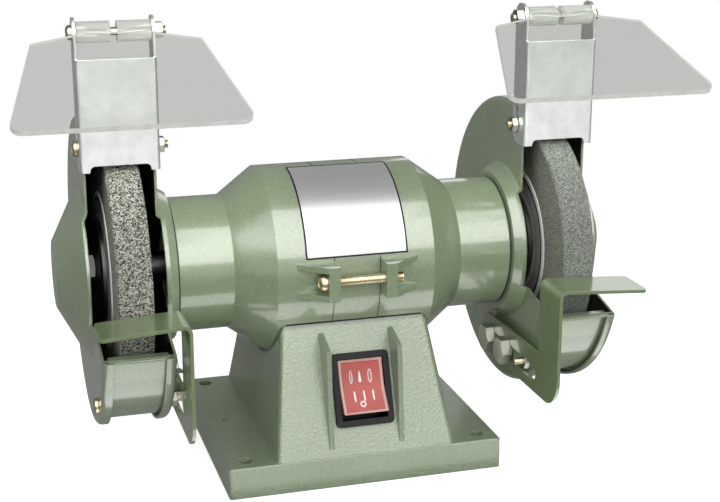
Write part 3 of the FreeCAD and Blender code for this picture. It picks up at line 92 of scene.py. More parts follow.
class Material:
    """A node material on the standard surface shader."""

    def __init__(self, name, **plain):
        self.material = bpy.data.materials.new(name)
        self.material.use_nodes = True
        self.tree = self.material.node_tree
        self.shader = self.tree.nodes["Principled BSDF"]
        for socket, value in plain.items():
            self.shader.inputs[socket.replace("_", " ")].default_value = value
        self.place = self.add("TexCoord").outputs["Object"]

    def add(self, kind, settings=None, **inputs):
        item = self.tree.nodes.new("ShaderNode" + kind)
        for word, value in (settings or {}).items():
            setattr(item, word, value)
        for socket, value in inputs.items():
            self.put(item.inputs[socket.replace("_", " ")], value)
        return item

    def put(self, socket, value):
        if isinstance(value, bpy.types.NodeSocket):
            self.tree.links.new(value, socket)
        else:
            socket.default_value = value

    def surface(self, **inputs):
        for socket, value in inputs.items():
            self.put(self.shader.inputs[socket.replace("_", " ")], value)
        return self.material

    def math(self, operation, first, second=0.0, third=0.0):
        item = self.add("Math", {"operation": operation})
        for socket, value in zip(item.inputs, (first, second, third)):
            self.put(socket, value)
        return item.outputs[0]

    def share(self, value, part):
        return self.math("MULTIPLY", value, part)

    def total(self, first, second):
        return self.math("ADD", first, second)

    def stretched(self, x, y, z):
        return self.add("Mapping", None, Vector=self.place, Scale=(x, y, z)).outputs[0]

    def noise(self, scale, detail=3.0, vector=None):
        item = self.add("TexNoise", None, Vector=vector or self.place, Scale=scale, Detail=detail)
        return item.outputs[0]

    def cells(self, scale, output="Color"):
        item = self.add("TexVoronoi", {"feature": "F1"}, Vector=self.place, Scale=scale)
        return item.outputs[output]

    def ramp(self, factor, *stops):
        """Tones along a factor; a stop is a position and a colour or a grey level."""
        item = self.add("ValToRGB", None, Fac=factor)
        points = item.color_ramp.elements
        while len(points) < len(stops):
            points.new(0.5)
        for point, (position, colour) in zip(points, stops):
            point.position = position
            point.color = colour if isinstance(colour, tuple) else (colour, colour, colour, 1)
        return item.outputs[0]

    def span(self, value, low, high, to_low=0.0, to_high=1.0):
        item = self.add("MapRange", None, Value=value, From_Min=low, From_Max=high,
                        To_Min=to_low, To_Max=to_high)
        return item.outputs[0]

    def clouds(self, scale, low, high):
        """A value that drifts between two limits."""
        return self.span(self.noise(scale, 2), 0.3, 0.7, low, high)

    def mix(self, factor, first, second, blend="MIX"):
        item = self.add("Mix", {"data_type": "RGBA", "blend_type": blend})
        colours = (item.inputs[0], item.inputs[6], item.inputs[7])
        for socket, value in zip(colours, (factor, first, second)):
            self.put(socket, value)
        return item.outputs[2]

    def bump(self, height, distance, under=None):
        item = self.add("Bump", None, Height=height, Distance=distance, Strength=1.0)
        if under is not None:
            self.put(item.inputs["Normal"], under)
        return item.outputs[0]

    def edges(self, radius):
        """About 1 along sharp edges and 0 on open faces, and the rounded normal."""
        soft = self.add("Bevel", {"samples": 4}, Radius=radius).outputs[0]
        true = self.add("NewGeometry").outputs["Normal"]
        facing = self.add("VectorMath", {"operation": "DOT_PRODUCT"})
        self.put(facing.inputs[0], soft)
        self.put(facing.inputs[1], true)
        return self.span(facing.outputs["Value"], 0.985, 0.8), soft

    def spindle_radius(self):
        """Distance from the spindle's axis, in metres."""
        parts = self.add("SeparateXYZ", None, Vector=self.place).outputs
        y = self.math("SUBTRACT", parts["Y"], SHAFT_Y)
        z = self.math("SUBTRACT", parts["Z"], SHAFT_Z)
        return self.math("SQRT", self.total(self.share(y, y), self.share(z, z)))


def rgb(red, green, blue):
    """A colour given as shown on screen."""
    def linear(level):
        level /= 255
        return level / 12.92 if level <= 0.04045 else ((level + 0.055) / 1.055) ** 2.4
    return (linear(red), linear(green), linear(blue), 1)


def scaled(colour, share):
    return tuple(min(1, level * share) for level in colour[:3]) + (1,)


# Materials; noise scales are per metre, depths and edge radii in metres

def paint(name, colour, rough, grain, depth, edge=0.0006, worn=1.3, inside=None):
    """Sprayed enamel: tone drift, mottling, dust specks, orange peel and thin paint on edges.

    An inside colour takes over within the radius of the guards' rims.
    """
    m = Material(name, IOR=1.5, Coat_Weight=1.0, Coat_Roughness=0.1)
    drift = m.ramp(m.noise(22, 4), (0.3, scaled(colour, 0.98)), (0.7, scaled(colour, 1.1)))
    mottle = m.ramp(m.noise(650, 3), (0.32, 0.86), (0.68, 1.0))
    mottled = m.mix(1.0, drift, mottle, "MULTIPLY")
    specks = m.span(m.noise(2600, 2), 0.68, 0.76)
    dirty = m.mix(m.share(specks, 0.2), mottled, scaled(colour, 0.45))
    mask, soft = m.edges(edge)
    thin = m.share(mask, m.span(m.noise(160, 3), 0.35, 0.65))
    tone = m.mix(m.share(thin, 0.6), dirty, scaled(colour, worn))
    if inside:
        within = m.span(m.spindle_radius(), GUARD_RIM, GUARD_RIM - 0.0002)
        tone = m.mix(within, tone, inside)
    peel = m.share(m.noise(grain, 2.5), 0.16)
    height = m.total(peel, m.noise(grain * 0.18, 2))
    return m.surface(Base_Color=tone, Roughness=m.clouds(1100, rough - 0.02, rough + 0.02),
                     Normal=m.bump(height, depth, soft))


def hammered(name, colour, rough):
    """Sand-cast skin under thick enamel: pebbled, with painted shade in the hollows and painted
    shade by the barrel.
    """
    m = Material(name, IOR=1.5, Coat_Weight=0.45, Coat_Roughness=0.2)
    pebble = m.add("TexVoronoi", {"feature": "SMOOTH_F1"}, Vector=m.place, Scale=900.0,
                   Smoothness=0.6).outputs[0]
    height = m.total(m.share(pebble, -0.9), m.share(m.noise(1500, 3), 0.8))
    drift = m.ramp(m.noise(26, 4), (0.3, scaled(colour, 0.9)), (0.7, scaled(colour, 1.06)))
    # Painted shade: the tone darkens in the hollows of the pebbled skin, where the bump is low
    shaded_hollows = m.mix(m.span(height, -0.2, 0.25, 0.35, 0), drift, scaled(colour, 0.6))
    mask, soft = m.edges(0.0009)
    worn = m.mix(m.share(mask, 0.35), shaded_hollows, scaled(colour, 1.25))
    # Painted shade: the casting darkens towards where it meets the barrel
    shade_by_barrel = m.span(m.spindle_radius(), BARREL + 0.0022, BARREL + 0.0006, 0, 0.8)
    tone = m.mix(shade_by_barrel, worn, scaled(colour, 0.2))
    return m.surface(Base_Color=tone, Roughness=m.clouds(1300, rough - 0.05, rough + 0.08),
                     Normal=m.bump(height, 0.00026, soft))


def metal(name, colour, rough, lines=(900, 900, 900), depth=8e-6, patches=0.0, cloudy=0.25,
          **plain):
    """Plated or turned metal: fine lines, faint patches, cloudy roughness and bright edges."""
    m = Material(name, **{"Metallic": 1.0, **plain})
    streak = m.noise(1, 3, m.stretched(*lines))
    level = m.total(m.share(streak, 0.5), m.share(m.noise(260, 3), patches))
    tone = m.ramp(level, (0.1, scaled(colour, 0.8)), (0.7, scaled(colour, 1.1)))
    mask, soft = m.edges(0.0003)
    bright = m.mix(m.share(mask, 0.5), tone, scaled(colour, 1.25))
    wave = m.total(m.share(m.noise(700, 3), 0.16 * cloudy), m.share(streak, 0.1 * cloudy))
    return m.surface(Base_Color=bright, Roughness=m.total(wave, rough - 0.13 * cloudy),
                     Normal=m.bump(streak, depth, soft))


def plastic(name, colour, rough, grain=1800, depth=1e-5, **plain):
    """Moulded plastic: slow tone drift, fine grain and paler rubbed edges."""
    m = Material(name, **plain)
    tone = m.ramp(m.noise(60, 3), (0.3, scaled(colour, 0.85)), (0.7, scaled(colour, 1.12)))
    mask, soft = m.edges(0.0004)
    worn = m.mix(m.share(mask, 0.3), tone, scaled(colour, 1.8))
    return m.surface(Base_Color=worn, Roughness=m.clouds(1000, rough - 0.05, rough + 0.06),
                     Normal=m.bump(m.noise(grain, 2), depth, soft))


def abrasive(name, grain, light, dark, side_light, side_dark):
    """Bonded grit: light and dark grains on the cutting rim, a duller trued face on the sides."""
    m = Material(name, Specular_IOR_Level=0.35)
    shade = m.add("SeparateColor", None, Color=m.cells(grain)).outputs
    fine = m.add("SeparateColor", None, Color=m.cells(grain * 2.1)).outputs[1]
    level = m.total(m.share(shade[0], 0.7), m.share(fine, 0.35))
    rim_tone = m.ramp(level, (0.3, dark), (0.48, scaled(light, 0.25)),
                      (0.6, scaled(light, 0.6)), (0.78, light))
    side_tone = m.ramp(level, (0.25, side_dark), (0.8, side_light))
    on_rim = m.span(m.spindle_radius(), WHEEL_SIDE, WHEEL_RIM)
    pits = m.share(m.cells(grain, "Distance"), -0.8)
    height = m.total(m.share(shade[1], 0.7), pits)
    return m.surface(Base_Color=m.mix(on_rim, side_tone, rim_tone),
                     Roughness=m.span(shade[2], 0, 1, 0.55, 0.95), Normal=m.bump(height, 0.00025))


def blotter_paper(name):
    """Paper disc: grey field with pale rings, a dark line and no lettering."""
    m = Material(name, Specular_IOR_Level=0.3)
    radius = m.spindle_radius()
    fibre = m.noise(1500, 3)
    field = m.ramp(fibre, (0.3, rgb(158, 154, 154)), (0.7, rgb(182, 178, 177)))
    ring = m.math("COMPARE", radius, LABEL_RING, LABEL_RING_HALF)
    rim = m.math("GREATER_THAN", radius, LABEL_EDGE)
    pale = m.mix(m.math("MAXIMUM", ring, rim), field, rgb(246, 244, 240))
    line = m.math("COMPARE", radius, LABEL_LINE, LABEL_LINE_HALF)
    return m.surface(Base_Color=m.mix(line, pale, rgb(26, 24, 24)),
                     Roughness=m.span(fibre, 0.2, 0.8, 0.6, 0.85), Normal=m.bump(fibre, 2e-5))


def clear_sheet(name):
    """Clear acrylic with a faint grey cast and small rubs."""
    m = Material(name, IOR=1.49, Transmission_Weight=1.0)
    rubs = m.noise(1, 4, m.stretched(60, 900, 900))
    cast = m.ramp(m.noise(14, 3), (0.3, rgb(234, 237, 232)), (0.7, rgb(240, 242, 238)))
    return m.surface(Base_Color=cast, Roughness=m.span(rubs, 0.55, 0.8, 0.015, 0.06))


def frosted_edge(name):
    """Saw-cut acrylic edge: milky, with a painted glow from emission, strongest where it is seen
    through the sheet.
    """
    m = Material(name, IOR=1.49, Specular_IOR_Level=0.2, Emission_Color=(1, 1, 0.97, 1))
    saw = m.noise(1, 2, m.stretched(260, 60, 60))
    tone = m.ramp(saw, (0.3, rgb(212, 216, 206)), (0.7, rgb(228, 231, 222)))
    # Painted light: the edge emits a faint glow from outside and a strong one, over a black base,
    # where it is seen through the sheet
    within = m.add("NewGeometry").outputs["Backfacing"]
    return m.surface(Base_Color=m.mix(within, tone, BLACK),
                     Emission_Strength=m.span(within, 0, 1, 0.12, 0.72),
                     Roughness=m.span(saw, 0.2, 0.8, 0.45, 0.6), Normal=m.bump(saw, 1e-5))


def rolled_loop(name):
    """Acrylic that was heated and rolled: clear but clouded, with flow lines along the roll and a
    faint painted glow from emission.
    """
    # Painted light: a faint emission makes the loop glow
    m = Material(name, IOR=1.49, Transmission_Weight=0.35,
                 Emission_Color=(1, 1, 0.97, 1), Emission_Strength=0.05)
    flow = m.noise(1, 3, m.stretched(40, 500, 500))
    tone = m.ramp(flow, (0.3, rgb(222, 225, 218)), (0.7, rgb(244, 245, 240)))
    return m.surface(Base_Color=tone, Roughness=m.span(flow, 0.3, 0.7, 0.12, 0.3),
                     Normal=m.bump(flow, 5e-5))


def copper_wire(name):
    """Lacquered wire, with painted shade darkening it between the strands."""
    m = Material(name, Metallic=0.7, Coat_Weight=0.6, Coat_Roughness=0.2)
    strand = m.noise(1, 2, m.stretched(1400, 300, 300))
    # Painted shade: the tone darkens where the strands' bump is low, between the strands
    tone = m.ramp(strand, (0.25, rgb(96, 44, 20)), (0.75, rgb(176, 92, 48)))
    return m.surface(Base_Color=tone, Roughness=m.span(strand, 0.2, 0.8, 0.25, 0.45),
                     Normal=m.bump(strand, 8e-5))


EVEN = (700, 700, 700)
materials = {
    "casting_paint": hammered("casting_paint", rgb(142, 156, 128), rough=0.34),
    "bell_paint": paint("bell_paint", rgb(143, 158, 127), rough=0.31, grain=850, depth=0.00014),
    "guard_paint": paint("guard_paint", rgb(139, 153, 123), rough=0.31, grain=700, depth=0.00012),
    "rest_paint": paint("rest_paint", rgb(124, 141, 101), rough=0.32, grain=800, depth=0.00008,
                        edge=0.0005, worn=1.6),
    "dark_inside": paint("dark_inside", rgb(139, 153, 123), rough=0.45, grain=700, depth=0.0001,
                         inside=rgb(38, 36, 34)),
    "zinc_sheet": metal("zinc_sheet", rgb(242, 245, 243), rough=0.34, lines=(90, 900, 90),
                        depth=6e-6, patches=0.5, cloudy=1.0),
    "bright_steel": metal("bright_steel", rgb(152, 150, 143), rough=0.32, lines=EVEN, depth=6e-6),
    "yellow_zinc": metal("yellow_zinc", rgb(196, 182, 150), rough=0.32, lines=EVEN, depth=6e-6,
                         patches=0.1),
    "pale_zinc": metal("pale_zinc", rgb(176, 169, 150), rough=0.32, lines=EVEN, depth=6e-6,
                       patches=0.1),
    "dull_steel": metal("dull_steel", rgb(168, 166, 156), rough=0.31, lines=EVEN, depth=3e-6,
                        Metallic=0.6),
    "turned_face": metal("turned_face", rgb(238, 236, 226), rough=0.33, lines=EVEN, depth=3e-6,
                         Metallic=0.2),
    "dark_steel": metal("dark_steel", rgb(92, 90, 88), rough=0.4, lines=(600, 600, 600)),
    "lamination": metal("lamination", rgb(150, 152, 146), rough=0.45, lines=(2000, 40, 40),
                        depth=2e-5),
    "cast_alloy": metal("cast_alloy", rgb(190, 192, 194), rough=0.5, lines=(500, 500, 500),
                        depth=3e-5),
    "plate_alloy": metal("plate_alloy", rgb(194, 194, 194), rough=0.28, lines=(40, 1400, 1400),
                         depth=1e-6, cloudy=0.05, Metallic=0.35),
    "brass_tabs": metal("brass_tabs", rgb(212, 178, 106), rough=0.32),
    "can_alloy": metal("can_alloy", rgb(200, 200, 200), rough=0.4, lines=(60, 900, 900)),
    "copper": copper_wire("copper"),
    "left_abrasive": abrasive("left_abrasive", 1900, light=rgb(196, 196, 182), dark=rgb(14, 13, 12),
                              side_light=rgb(182, 180, 166), side_dark=rgb(17, 16, 15)),
    "right_abrasive": abrasive("right_abrasive", 3200, light=rgb(184, 190, 180),
                               dark=rgb(90, 95, 88), side_light=rgb(182, 179, 166),
                               side_dark=rgb(62, 61, 55)),
    "paper": blotter_paper("paper"),
    "clear_sheet": clear_sheet("clear_sheet"),
    "frosted_edge": frosted_edge("frosted_edge"),
    "rolled_loop": rolled_loop("rolled_loop"),
    "black_plastic": plastic("black_plastic", rgb(24, 22, 21), rough=0.55,
                             Specular_IOR_Level=0.14),
    "red_plastic": plastic("red_plastic", rgb(180, 64, 56), rough=0.35, grain=1200, depth=4e-6,
                           Specular_IOR_Level=0.3, Subsurface_Weight=0.3,
                           Subsurface_Radius=(0.002, 0.0004, 0.0003), Subsurface_Scale=1.0),
    # A paler red for the rocker's rounded sides and rim: a painted sheen
    "red_sheen": plastic("red_sheen", rgb(206, 158, 150), rough=0.3, grain=1200, depth=4e-6,
                        Specular_IOR_Level=0.4),
    "pale_plastic": plastic("pale_plastic", rgb(246, 238, 232), rough=0.35, grain=1200,
                            depth=4e-6),
    "black_rubber": plastic("black_rubber", rgb(36, 36, 36), rough=0.6, grain=2200, depth=3e-5),
    "dark_line": plastic("dark_line", rgb(30, 31, 29), rough=0.6, Specular_IOR_Level=0.1),
}


# Finishes of the CAD nodes

slot_of = {part["node"]: part["material_slot"] for part in frame["record"]["subparts"]}
for name, item in nodes.items():
    word = slot_of[name]
    if word == "abrasive":
        word = name.split("_")[0] + "_abrasive"
    if name == "spindle":
        word = "dark_steel"
    item.data.materials.clear()
    item.data.materials.append(materials[word])


def paint_faces(name, material, wanted):
    """Give the faces of a CAD node that a test picks a second finish."""
    mesh = nodes[name].data
    mesh.materials.append(materials[material])
    second = len(mesh.materials) - 1
    for face in mesh.polygons:
        away = Vector((0, face.center.y - SHAFT_Y, face.center.z - SHAFT_Z))
        if wanted(face.center, face.normal, away):
            face.material_index = second


def inward(normal, away):
    return normal.dot(away.normalized()) < -0.5


def wall(normal, away):
    """An inward face out by the guard's rim, and not one of the bore."""
    return inward(normal, away) and away.length > GUARD_WALL


for side, sign in SIDES:
    paint_faces(side + "_guard_cover", "dark_inside",
                lambda at, normal, away: normal.x * sign < -0.2 or wall(normal, away))
    paint_faces(side + "_guard_back_plate", "dark_inside",
                lambda at, normal, away: normal.x * sign > 0.2 or wall(normal, away))
    paint_faces(side + "_guard_rim", "dark_inside",
                lambda at, normal, away: inward(normal, away))
    shield = side + "_eye_shield"
    sheet = max(nodes[shield].data.polygons, key=lambda face: face.area).normal.copy()
    paint_faces(shield, "frosted_edge", lambda at, normal, away: abs(normal.dot(sheet)) < 0.4)
    paint_faces(shield, "rolled_loop",
                lambda at, normal, away: math.dist(at[1:], (PIN_Y * MM, PIN_Z * MM)) < LOOP)
paint_faces("stator_core", "bell_paint", lambda at, normal, away: away.length > STATOR_SKIN)


# Mesh pieces

class Shape:
    """Collects closed pieces for one object."""

    def __init__(self):
        self.verts = []
        self.faces = []

    def add(self, verts, faces, place=Matrix()):
        base = len(self.verts)
        self.verts += [place @ Vector(v) for v in verts]
        self.faces += [tuple(index + base for index in face) for face in faces]
        return self

    def rings(self, rows, place=Matrix(), closed=False):
        """Join rows of points, each a loop; ends are capped unless the rows close in a ring."""
        count = len(rows[0])
        verts = [point for row in rows for point in row]
        faces = []
        steps = len(rows) if closed else len(rows) - 1
        for row in range(steps):
            here, there = row * count, (row + 1) % len(rows) * count
            for index in range(count):
                after = (index + 1) % count
                faces.append((here + index, here + after, there + after, there + index))
        if not closed:
            faces.append(tuple(range(count - 1, -1, -1)))
            faces.append(tuple(range((len(rows) - 1) * count, len(rows) * count)))
        return self.add(verts, faces, place)

    def object(self, name):
        mesh = bpy.data.meshes.new(name)
        mesh.from_pydata([tuple(v) for v in self.verts], [], self.faces)
        return linked(name, mesh)

    def build(self, name, body, slot, replaced=None, sharp=35, material=None):
        item = self.object(name)
        mesh = item.data
        mesh.polygons.foreach_set("use_smooth", [True] * len(mesh.polygons))
        mesh.set_sharp_from_angle(angle=math.radians(sharp))
        mesh.materials.append(materials[material or slot])
        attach(item, body)
        if replaced:
            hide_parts(replaced)
        return item


def round_trip(count):
    """Angles of points round a full turn."""
    return [2 * math.pi * i / count for i in range(count)]


def circle(radius, height, count):
    return [(radius * math.cos(a), radius * math.sin(a), height) for a in round_trip(count)]


def standing(x, y, z, axis):
    """Place a piece drawn along +Z, in millimetres, to stand on a point along an axis."""
    turn = Vector(axis).to_track_quat("Z", "Y").to_matrix().to_4x4()
    return Matrix.Translation((x * MM, y * MM, z * MM)) @ turn @ Matrix.Scale(MM, 4)


SCREW_POINTS = 20
HEX_POINTS = 48


def threaded(radius, start, end, pitch, count=SCREW_POINTS):
    """Rows of a screw thread that fades out at both ends."""
    rows = []
    steps = max(4, int((end - start) / pitch * 4))
    depth = 0.55 * pitch
    for step in range(steps + 1):
        z = start + (end - start) * step / steps
        fade = min(1, (z - start) / pitch, (end - z) / pitch + 0.25)
        row = []
        for i, angle in enumerate(round_trip(count)):
            phase = (z / pitch - i / count) % 1
            r = radius - depth * abs(2 * phase - 1) * max(0, fade)
            row.append((r * math.cos(angle), r * math.sin(angle), z))
        rows.append(row)
    return rows


def hex_row(flats):
    """Radius and angle of points round a hexagon with flats above and below."""
    points = []
    for angle in round_trip(HEX_POINTS):
        off = (angle + math.pi / 6) % (math.pi / 3) - math.pi / 6
        points.append((flats / 2 / math.cos(off), angle + math.pi / 2))
    return points


def hexagon(flats, height, hole=0, face=0.475):
    """Rows of a hexagon head with turned-off corners or, with a hole, of a nut turned at both ends.

    The face's radius is a share of the distance across flats.
    """
    inner = flats * face
    fall = math.tan(math.radians(30))
    points = hex_row(flats)

    def corner(level, sign):
        return [(r * math.cos(a), r * math.sin(a), level - sign * (r - inner) * fall)
                for r, a in points]

    def flat(radius, level):
        return [(radius * math.cos(a), radius * math.sin(a), level) for _, a in points]

    top = [corner(height, 1), flat(inner, height)]
    if not hole:
        return [[(r * math.cos(a), r * math.sin(a), 0) for r, a in points]] + top
    bore = [flat(hole * 1.08, height), flat(hole, height - 0.4), flat(hole, 0.4),
            flat(hole * 1.08, 0)]
    return [flat(inner, 0), corner(0, -1)] + top + bore


# Radius and height of a pan head's outline, and half length, half width and height of its cross
DOME = ((0.97, 0), (1, 0.06), (1, 0.3), (0.96, 0.44), (0.86, 0.56), (0.68, 0.65), (0.45, 0.7),
        (0.2, 0.72))
DOME_HEIGHT = DOME[-1][1]
DOME_POINTS = 40
CROSS = ((0.22, 0.06, 0.24), (0.5, 0.11, 0.6), (0.66, 0.13, 0.9))


def cross_head():
    """A pan head of radius 1 with a cross recess, standing on the XY plane."""
    head = Shape().rings([circle(r, z, DOME_POINTS) for r, z in DOME]).object("head_blank")
    bars = []
    for turn in (0, 90):
        rows = [[(-reach, -wide, z), (reach, -wide, z), (reach, wide, z), (-reach, wide, z)]
                for reach, wide, z in CROSS]
        bar = Shape().rings(rows).object("cross_bar")
        bar.rotation_euler.z = math.radians(turn)
        bars.append(bar)
    for bar in bars:
        cut = head.modifiers.new("cross", "BOOLEAN")
        cut.operation = "DIFFERENCE"
        cut.solver = "EXACT"
        cut.object = bar
    bpy.context.view_layer.update()
    done = head.evaluated_get(bpy.context.evaluated_depsgraph_get()).to_mesh()
    verts = [tuple(v.co) for v in done.vertices]
    faces = [tuple(face.vertices) for face in done.polygons]
    for item in [head] + bars:
        bpy.data.objects.remove(item)
    return verts, faces


CROSS_HEAD = cross_head()


def pan_screw(shape, seat, turn, head_radius, head_height, radius, length, pitch, plain=0.0):
    """A cross-recessed pan-head screw on its seat, with a plain length below the head."""
    stretch = Matrix.Diagonal((head_radius, head_radius, head_height / DOME_HEIGHT, 1))
    shape.add(*CROSS_HEAD, seat @ Matrix.Rotation(math.radians(turn), 4, "Z") @ stretch)
    shape.rings([circle(radius * 0.98, level, SCREW_POINTS) for level in (-plain - 0.2, 0.3)], seat)
    thread = threaded(radius, -length, -plain, pitch)
    shape.rings([circle(radius * 0.6, -length, SCREW_POINTS)] + thread[1:], seat)


# Screws, nuts and bolts, in millimetres

TIE_SCREW = dict(head_radius=4.2, head_height=4, radius=2.5, length=38, pitch=0.8)
COVER_SCREW = dict(head_radius=3.8, head_height=2.6, radius=2, length=42, pitch=0.7, plain=26)
SHIELD_PIN = dict(head_radius=4, head_height=3, radius=2.5, length=42.3, pitch=0.8, plain=34)
GUARD_SCREW = dict(head_radius=4.25, head_height=3, radius=2.5, length=12.2, pitch=0.8)
BOTTOM_SCREW = dict(head_radius=3.5, head_height=2, radius=1.75, length=11, pitch=1.2)
REST_HEAD = dict(flats=13, height=5.3, face=0.42)
REST_THREAD = dict(radius=4, start=-10.8, end=0.2, pitch=1.25, count=24)
REST_NUT = dict(flats=13, height=5, hole=4.02)
COVER_NUT = dict(flats=7, height=3.2, hole=2.02)
SHIELD_NUT = dict(flats=8, height=4, hole=2.52)
SPINDLE_NUT = dict(flats=19, height=9, hole=6.37)

# Where they sit; seats are distances from the middle along the spindle
TIE_SEAT, TIE_REACH = 17, 52
COVER_PLACES = (  # y, z, head's seat and nut's seat, for the top, the front and the rear
    (-18, 165.15, 127.5, 90.5), (-39.3, 45.98, 126, 92), (69.96, 89.3, 126, 92))
REST_ROW, REST_Z, REST_SEAT, REST_NUT_SEAT = (-21.1, 0.7), 45.98, 87.4, 93.2
PIN_SEAT, SHIELD_NUT_SEAT = 127.4, 90.6
GUARD_ANGLES, GUARD_CIRCLE, GUARD_SEAT = (90, 210, 330), 25, 86.2
SPINDLE_NUT_SEAT = 120.6
BOTTOM_ROW, BOTTOM_Z = (-59, 59), 2.8

ties = Shape()
for facing, turn in ((-1, 35), (1, 10)):
    seat = standing(-TIE_SEAT, AXIS_Y + facing * TIE_REACH, AXIS_Z, (-1, 0, 0))
    pan_screw(ties, seat, turn, **TIE_SCREW)
ties.build("tie_screws_threaded", "frame", "yellow_zinc", "tie_screws")

for side, sign in SIDES:
    out, back = (sign, 0, 0), (-sign, 0, 0)
    guard = side + "_spark_guard"

    screws, nuts = Shape(), Shape()
    for index, (y, z, seat, nut_seat) in enumerate(COVER_PLACES):
        pan_screw(screws, standing(sign * seat, y, z, out), 25 + 40 * index, **COVER_SCREW)
        nuts.rings(hexagon(**COVER_NUT), standing(sign * nut_seat, y, z, back), True)
    screws.build(side + "_cover_screws_threaded", "frame", "yellow_zinc", side + "_cover_screws")
    nuts.build(side + "_cover_nuts_faced", "frame", "bright_steel", side + "_cover_nuts")

    bolts, nuts = Shape(), Shape()
    for y in REST_ROW:
        seat = standing(sign * REST_SEAT, y, REST_Z, back)
        bolts.rings(hexagon(**REST_HEAD), seat)
        bolts.rings(threaded(**REST_THREAD), seat)
        nuts.rings(hexagon(**REST_NUT), standing(sign * REST_NUT_SEAT, y, REST_Z, out), True)
    heads = bolts.build(side + "_rest_bolts_faced", "frame", "bright_steel",
                        side + "_tool_rest_bolts", material="dull_steel")
    heads.data.materials.append(materials["turned_face"])
    for face in heads.data.polygons:
        face.material_index = 1 if face.normal.x * sign < -0.4 else 0
    nuts.build(side + "_rest_nuts_faced", "frame", "bright_steel", side + "_tool_rest_nuts")

    pin, nut = Shape(), Shape()
    pan_screw(pin, standing(sign * PIN_SEAT, PIN_Y, PIN_Z, out), 15, **SHIELD_PIN)
    nut.rings(hexagon(**SHIELD_NUT), standing(sign * SHIELD_NUT_SEAT, PIN_Y, PIN_Z, back), True)
    pin.build(side + "_shield_pin_threaded", guard, "yellow_zinc", side + "_shield_pin",
              material="pale_zinc")
    nut.build(side + "_shield_nut_faced", guard, "bright_steel", side + "_shield_nut")

    screws = Shape()
    for index, angle in enumerate(GUARD_ANGLES):
        y = AXIS_Y + GUARD_CIRCLE * math.cos(math.radians(angle))
        z = AXIS_Z + GUARD_CIRCLE * math.sin(math.radians(angle))
        pan_screw(screws, standing(sign * GUARD_SEAT, y, z, out), 30 * index, **GUARD_SCREW)
    screws.build(side + "_guard_screws_threaded", "frame", "bright_steel", side + "_guard_screws")

    seat = standing(sign * SPINDLE_NUT_SEAT, AXIS_Y, AXIS_Z, out)
    nut = Shape().rings(hexagon(**SPINDLE_NUT), seat, True)
    nut.build(side + "_spindle_nut_faced", "rotor", "bright_steel", side + "_spindle_nut",
              material="dark_steel")

screws = Shape()
for x in BOTTOM_ROW:
    pan_screw(screws, standing(x, 0, BOTTOM_Z, (0, 0, -1)), 30, **BOTTOM_SCREW)
screws.build("bottom_cover_screws_threaded", "frame", "bright_steel", "bottom_cover_screws")


# Stator windings as bundles of strands laid round the bore

COIL_RADIUS, COIL_PLACE = 34.25, 24.5
COIL_TALL, COIL_WIDE = 5.1, 6.2
STRANDS, STRAND_POINTS, COIL_STEPS = 26, 3, 144
STRAND_TWIST, COIL_SLOTS = 9, 24


def winding_ring(shape, sign):
    rows = []
    for turn in round_trip(COIL_STEPS):
        row = []
        for angle in round_trip(STRANDS * STRAND_POINTS):
            ridge = 1 + 0.045 * math.cos(STRANDS * angle + STRAND_TWIST * turn)
            swell = ridge * (0.95 + 0.04 * math.cos(COIL_SLOTS * turn))
            r = COIL_RADIUS + COIL_TALL * swell * math.cos(angle)
            x = sign * (COIL_PLACE + COIL_WIDE * swell * math.sin(angle))
            row.append((x * MM, SHAFT_Y + r * MM * math.cos(turn),
                        SHAFT_Z + r * MM * math.sin(turn)))
        rows.append(row)
    shape.rings(rows, closed=True)


coils = Shape()
for side, sign in SIDES:
    winding_ring(coils, sign)
coils.build("stator_windings_wound", "frame", "copper", "stator_windings", sharp=60)


# Rocker with dished faces and its marks: the pivot in metres, angles in degrees, and the shape in
# millimetres about the pivot

PIVOT = Vector((0, -0.047198, 0.043826))
FRONT_LEAN, HALF_SWING = 21.0256834, 9
ROCKER_TURN = math.radians(90 - FRONT_LEAN - HALF_SWING)
ROCKER = (Matrix.Translation(PIVOT) @ Matrix.Rotation(ROCKER_TURN, 4, "X")
          @ Matrix.Scale(MM, 4))

ROCKER_HALF, ROCKER_REACH = 11.2, 13.4
ROCKER_FOOT = ((12.2, 2.5), (10.72, -2), (-10.72, -2), (-12.2, 2.5))
ROCKER_STEPS = 44
DISH_LOW, DISH_RISE, DISH_POWER = 5, 2.12, 1.35
PANEL_HALF, PANEL_EDGE, PANEL_REACH = 9.6, 9.9, 12.3
RECESS = 0.3
SHEEN_STEPS = (0, 1, 42, 43)
STUB_RADIUS, STUB_HALF = 1.5, 0.95


def rocker_top(y):
    return DISH_LOW + DISH_RISE * (abs(y) / ROCKER_REACH) ** DISH_POWER


def face_height(y):
    return rocker_top(y) - RECESS


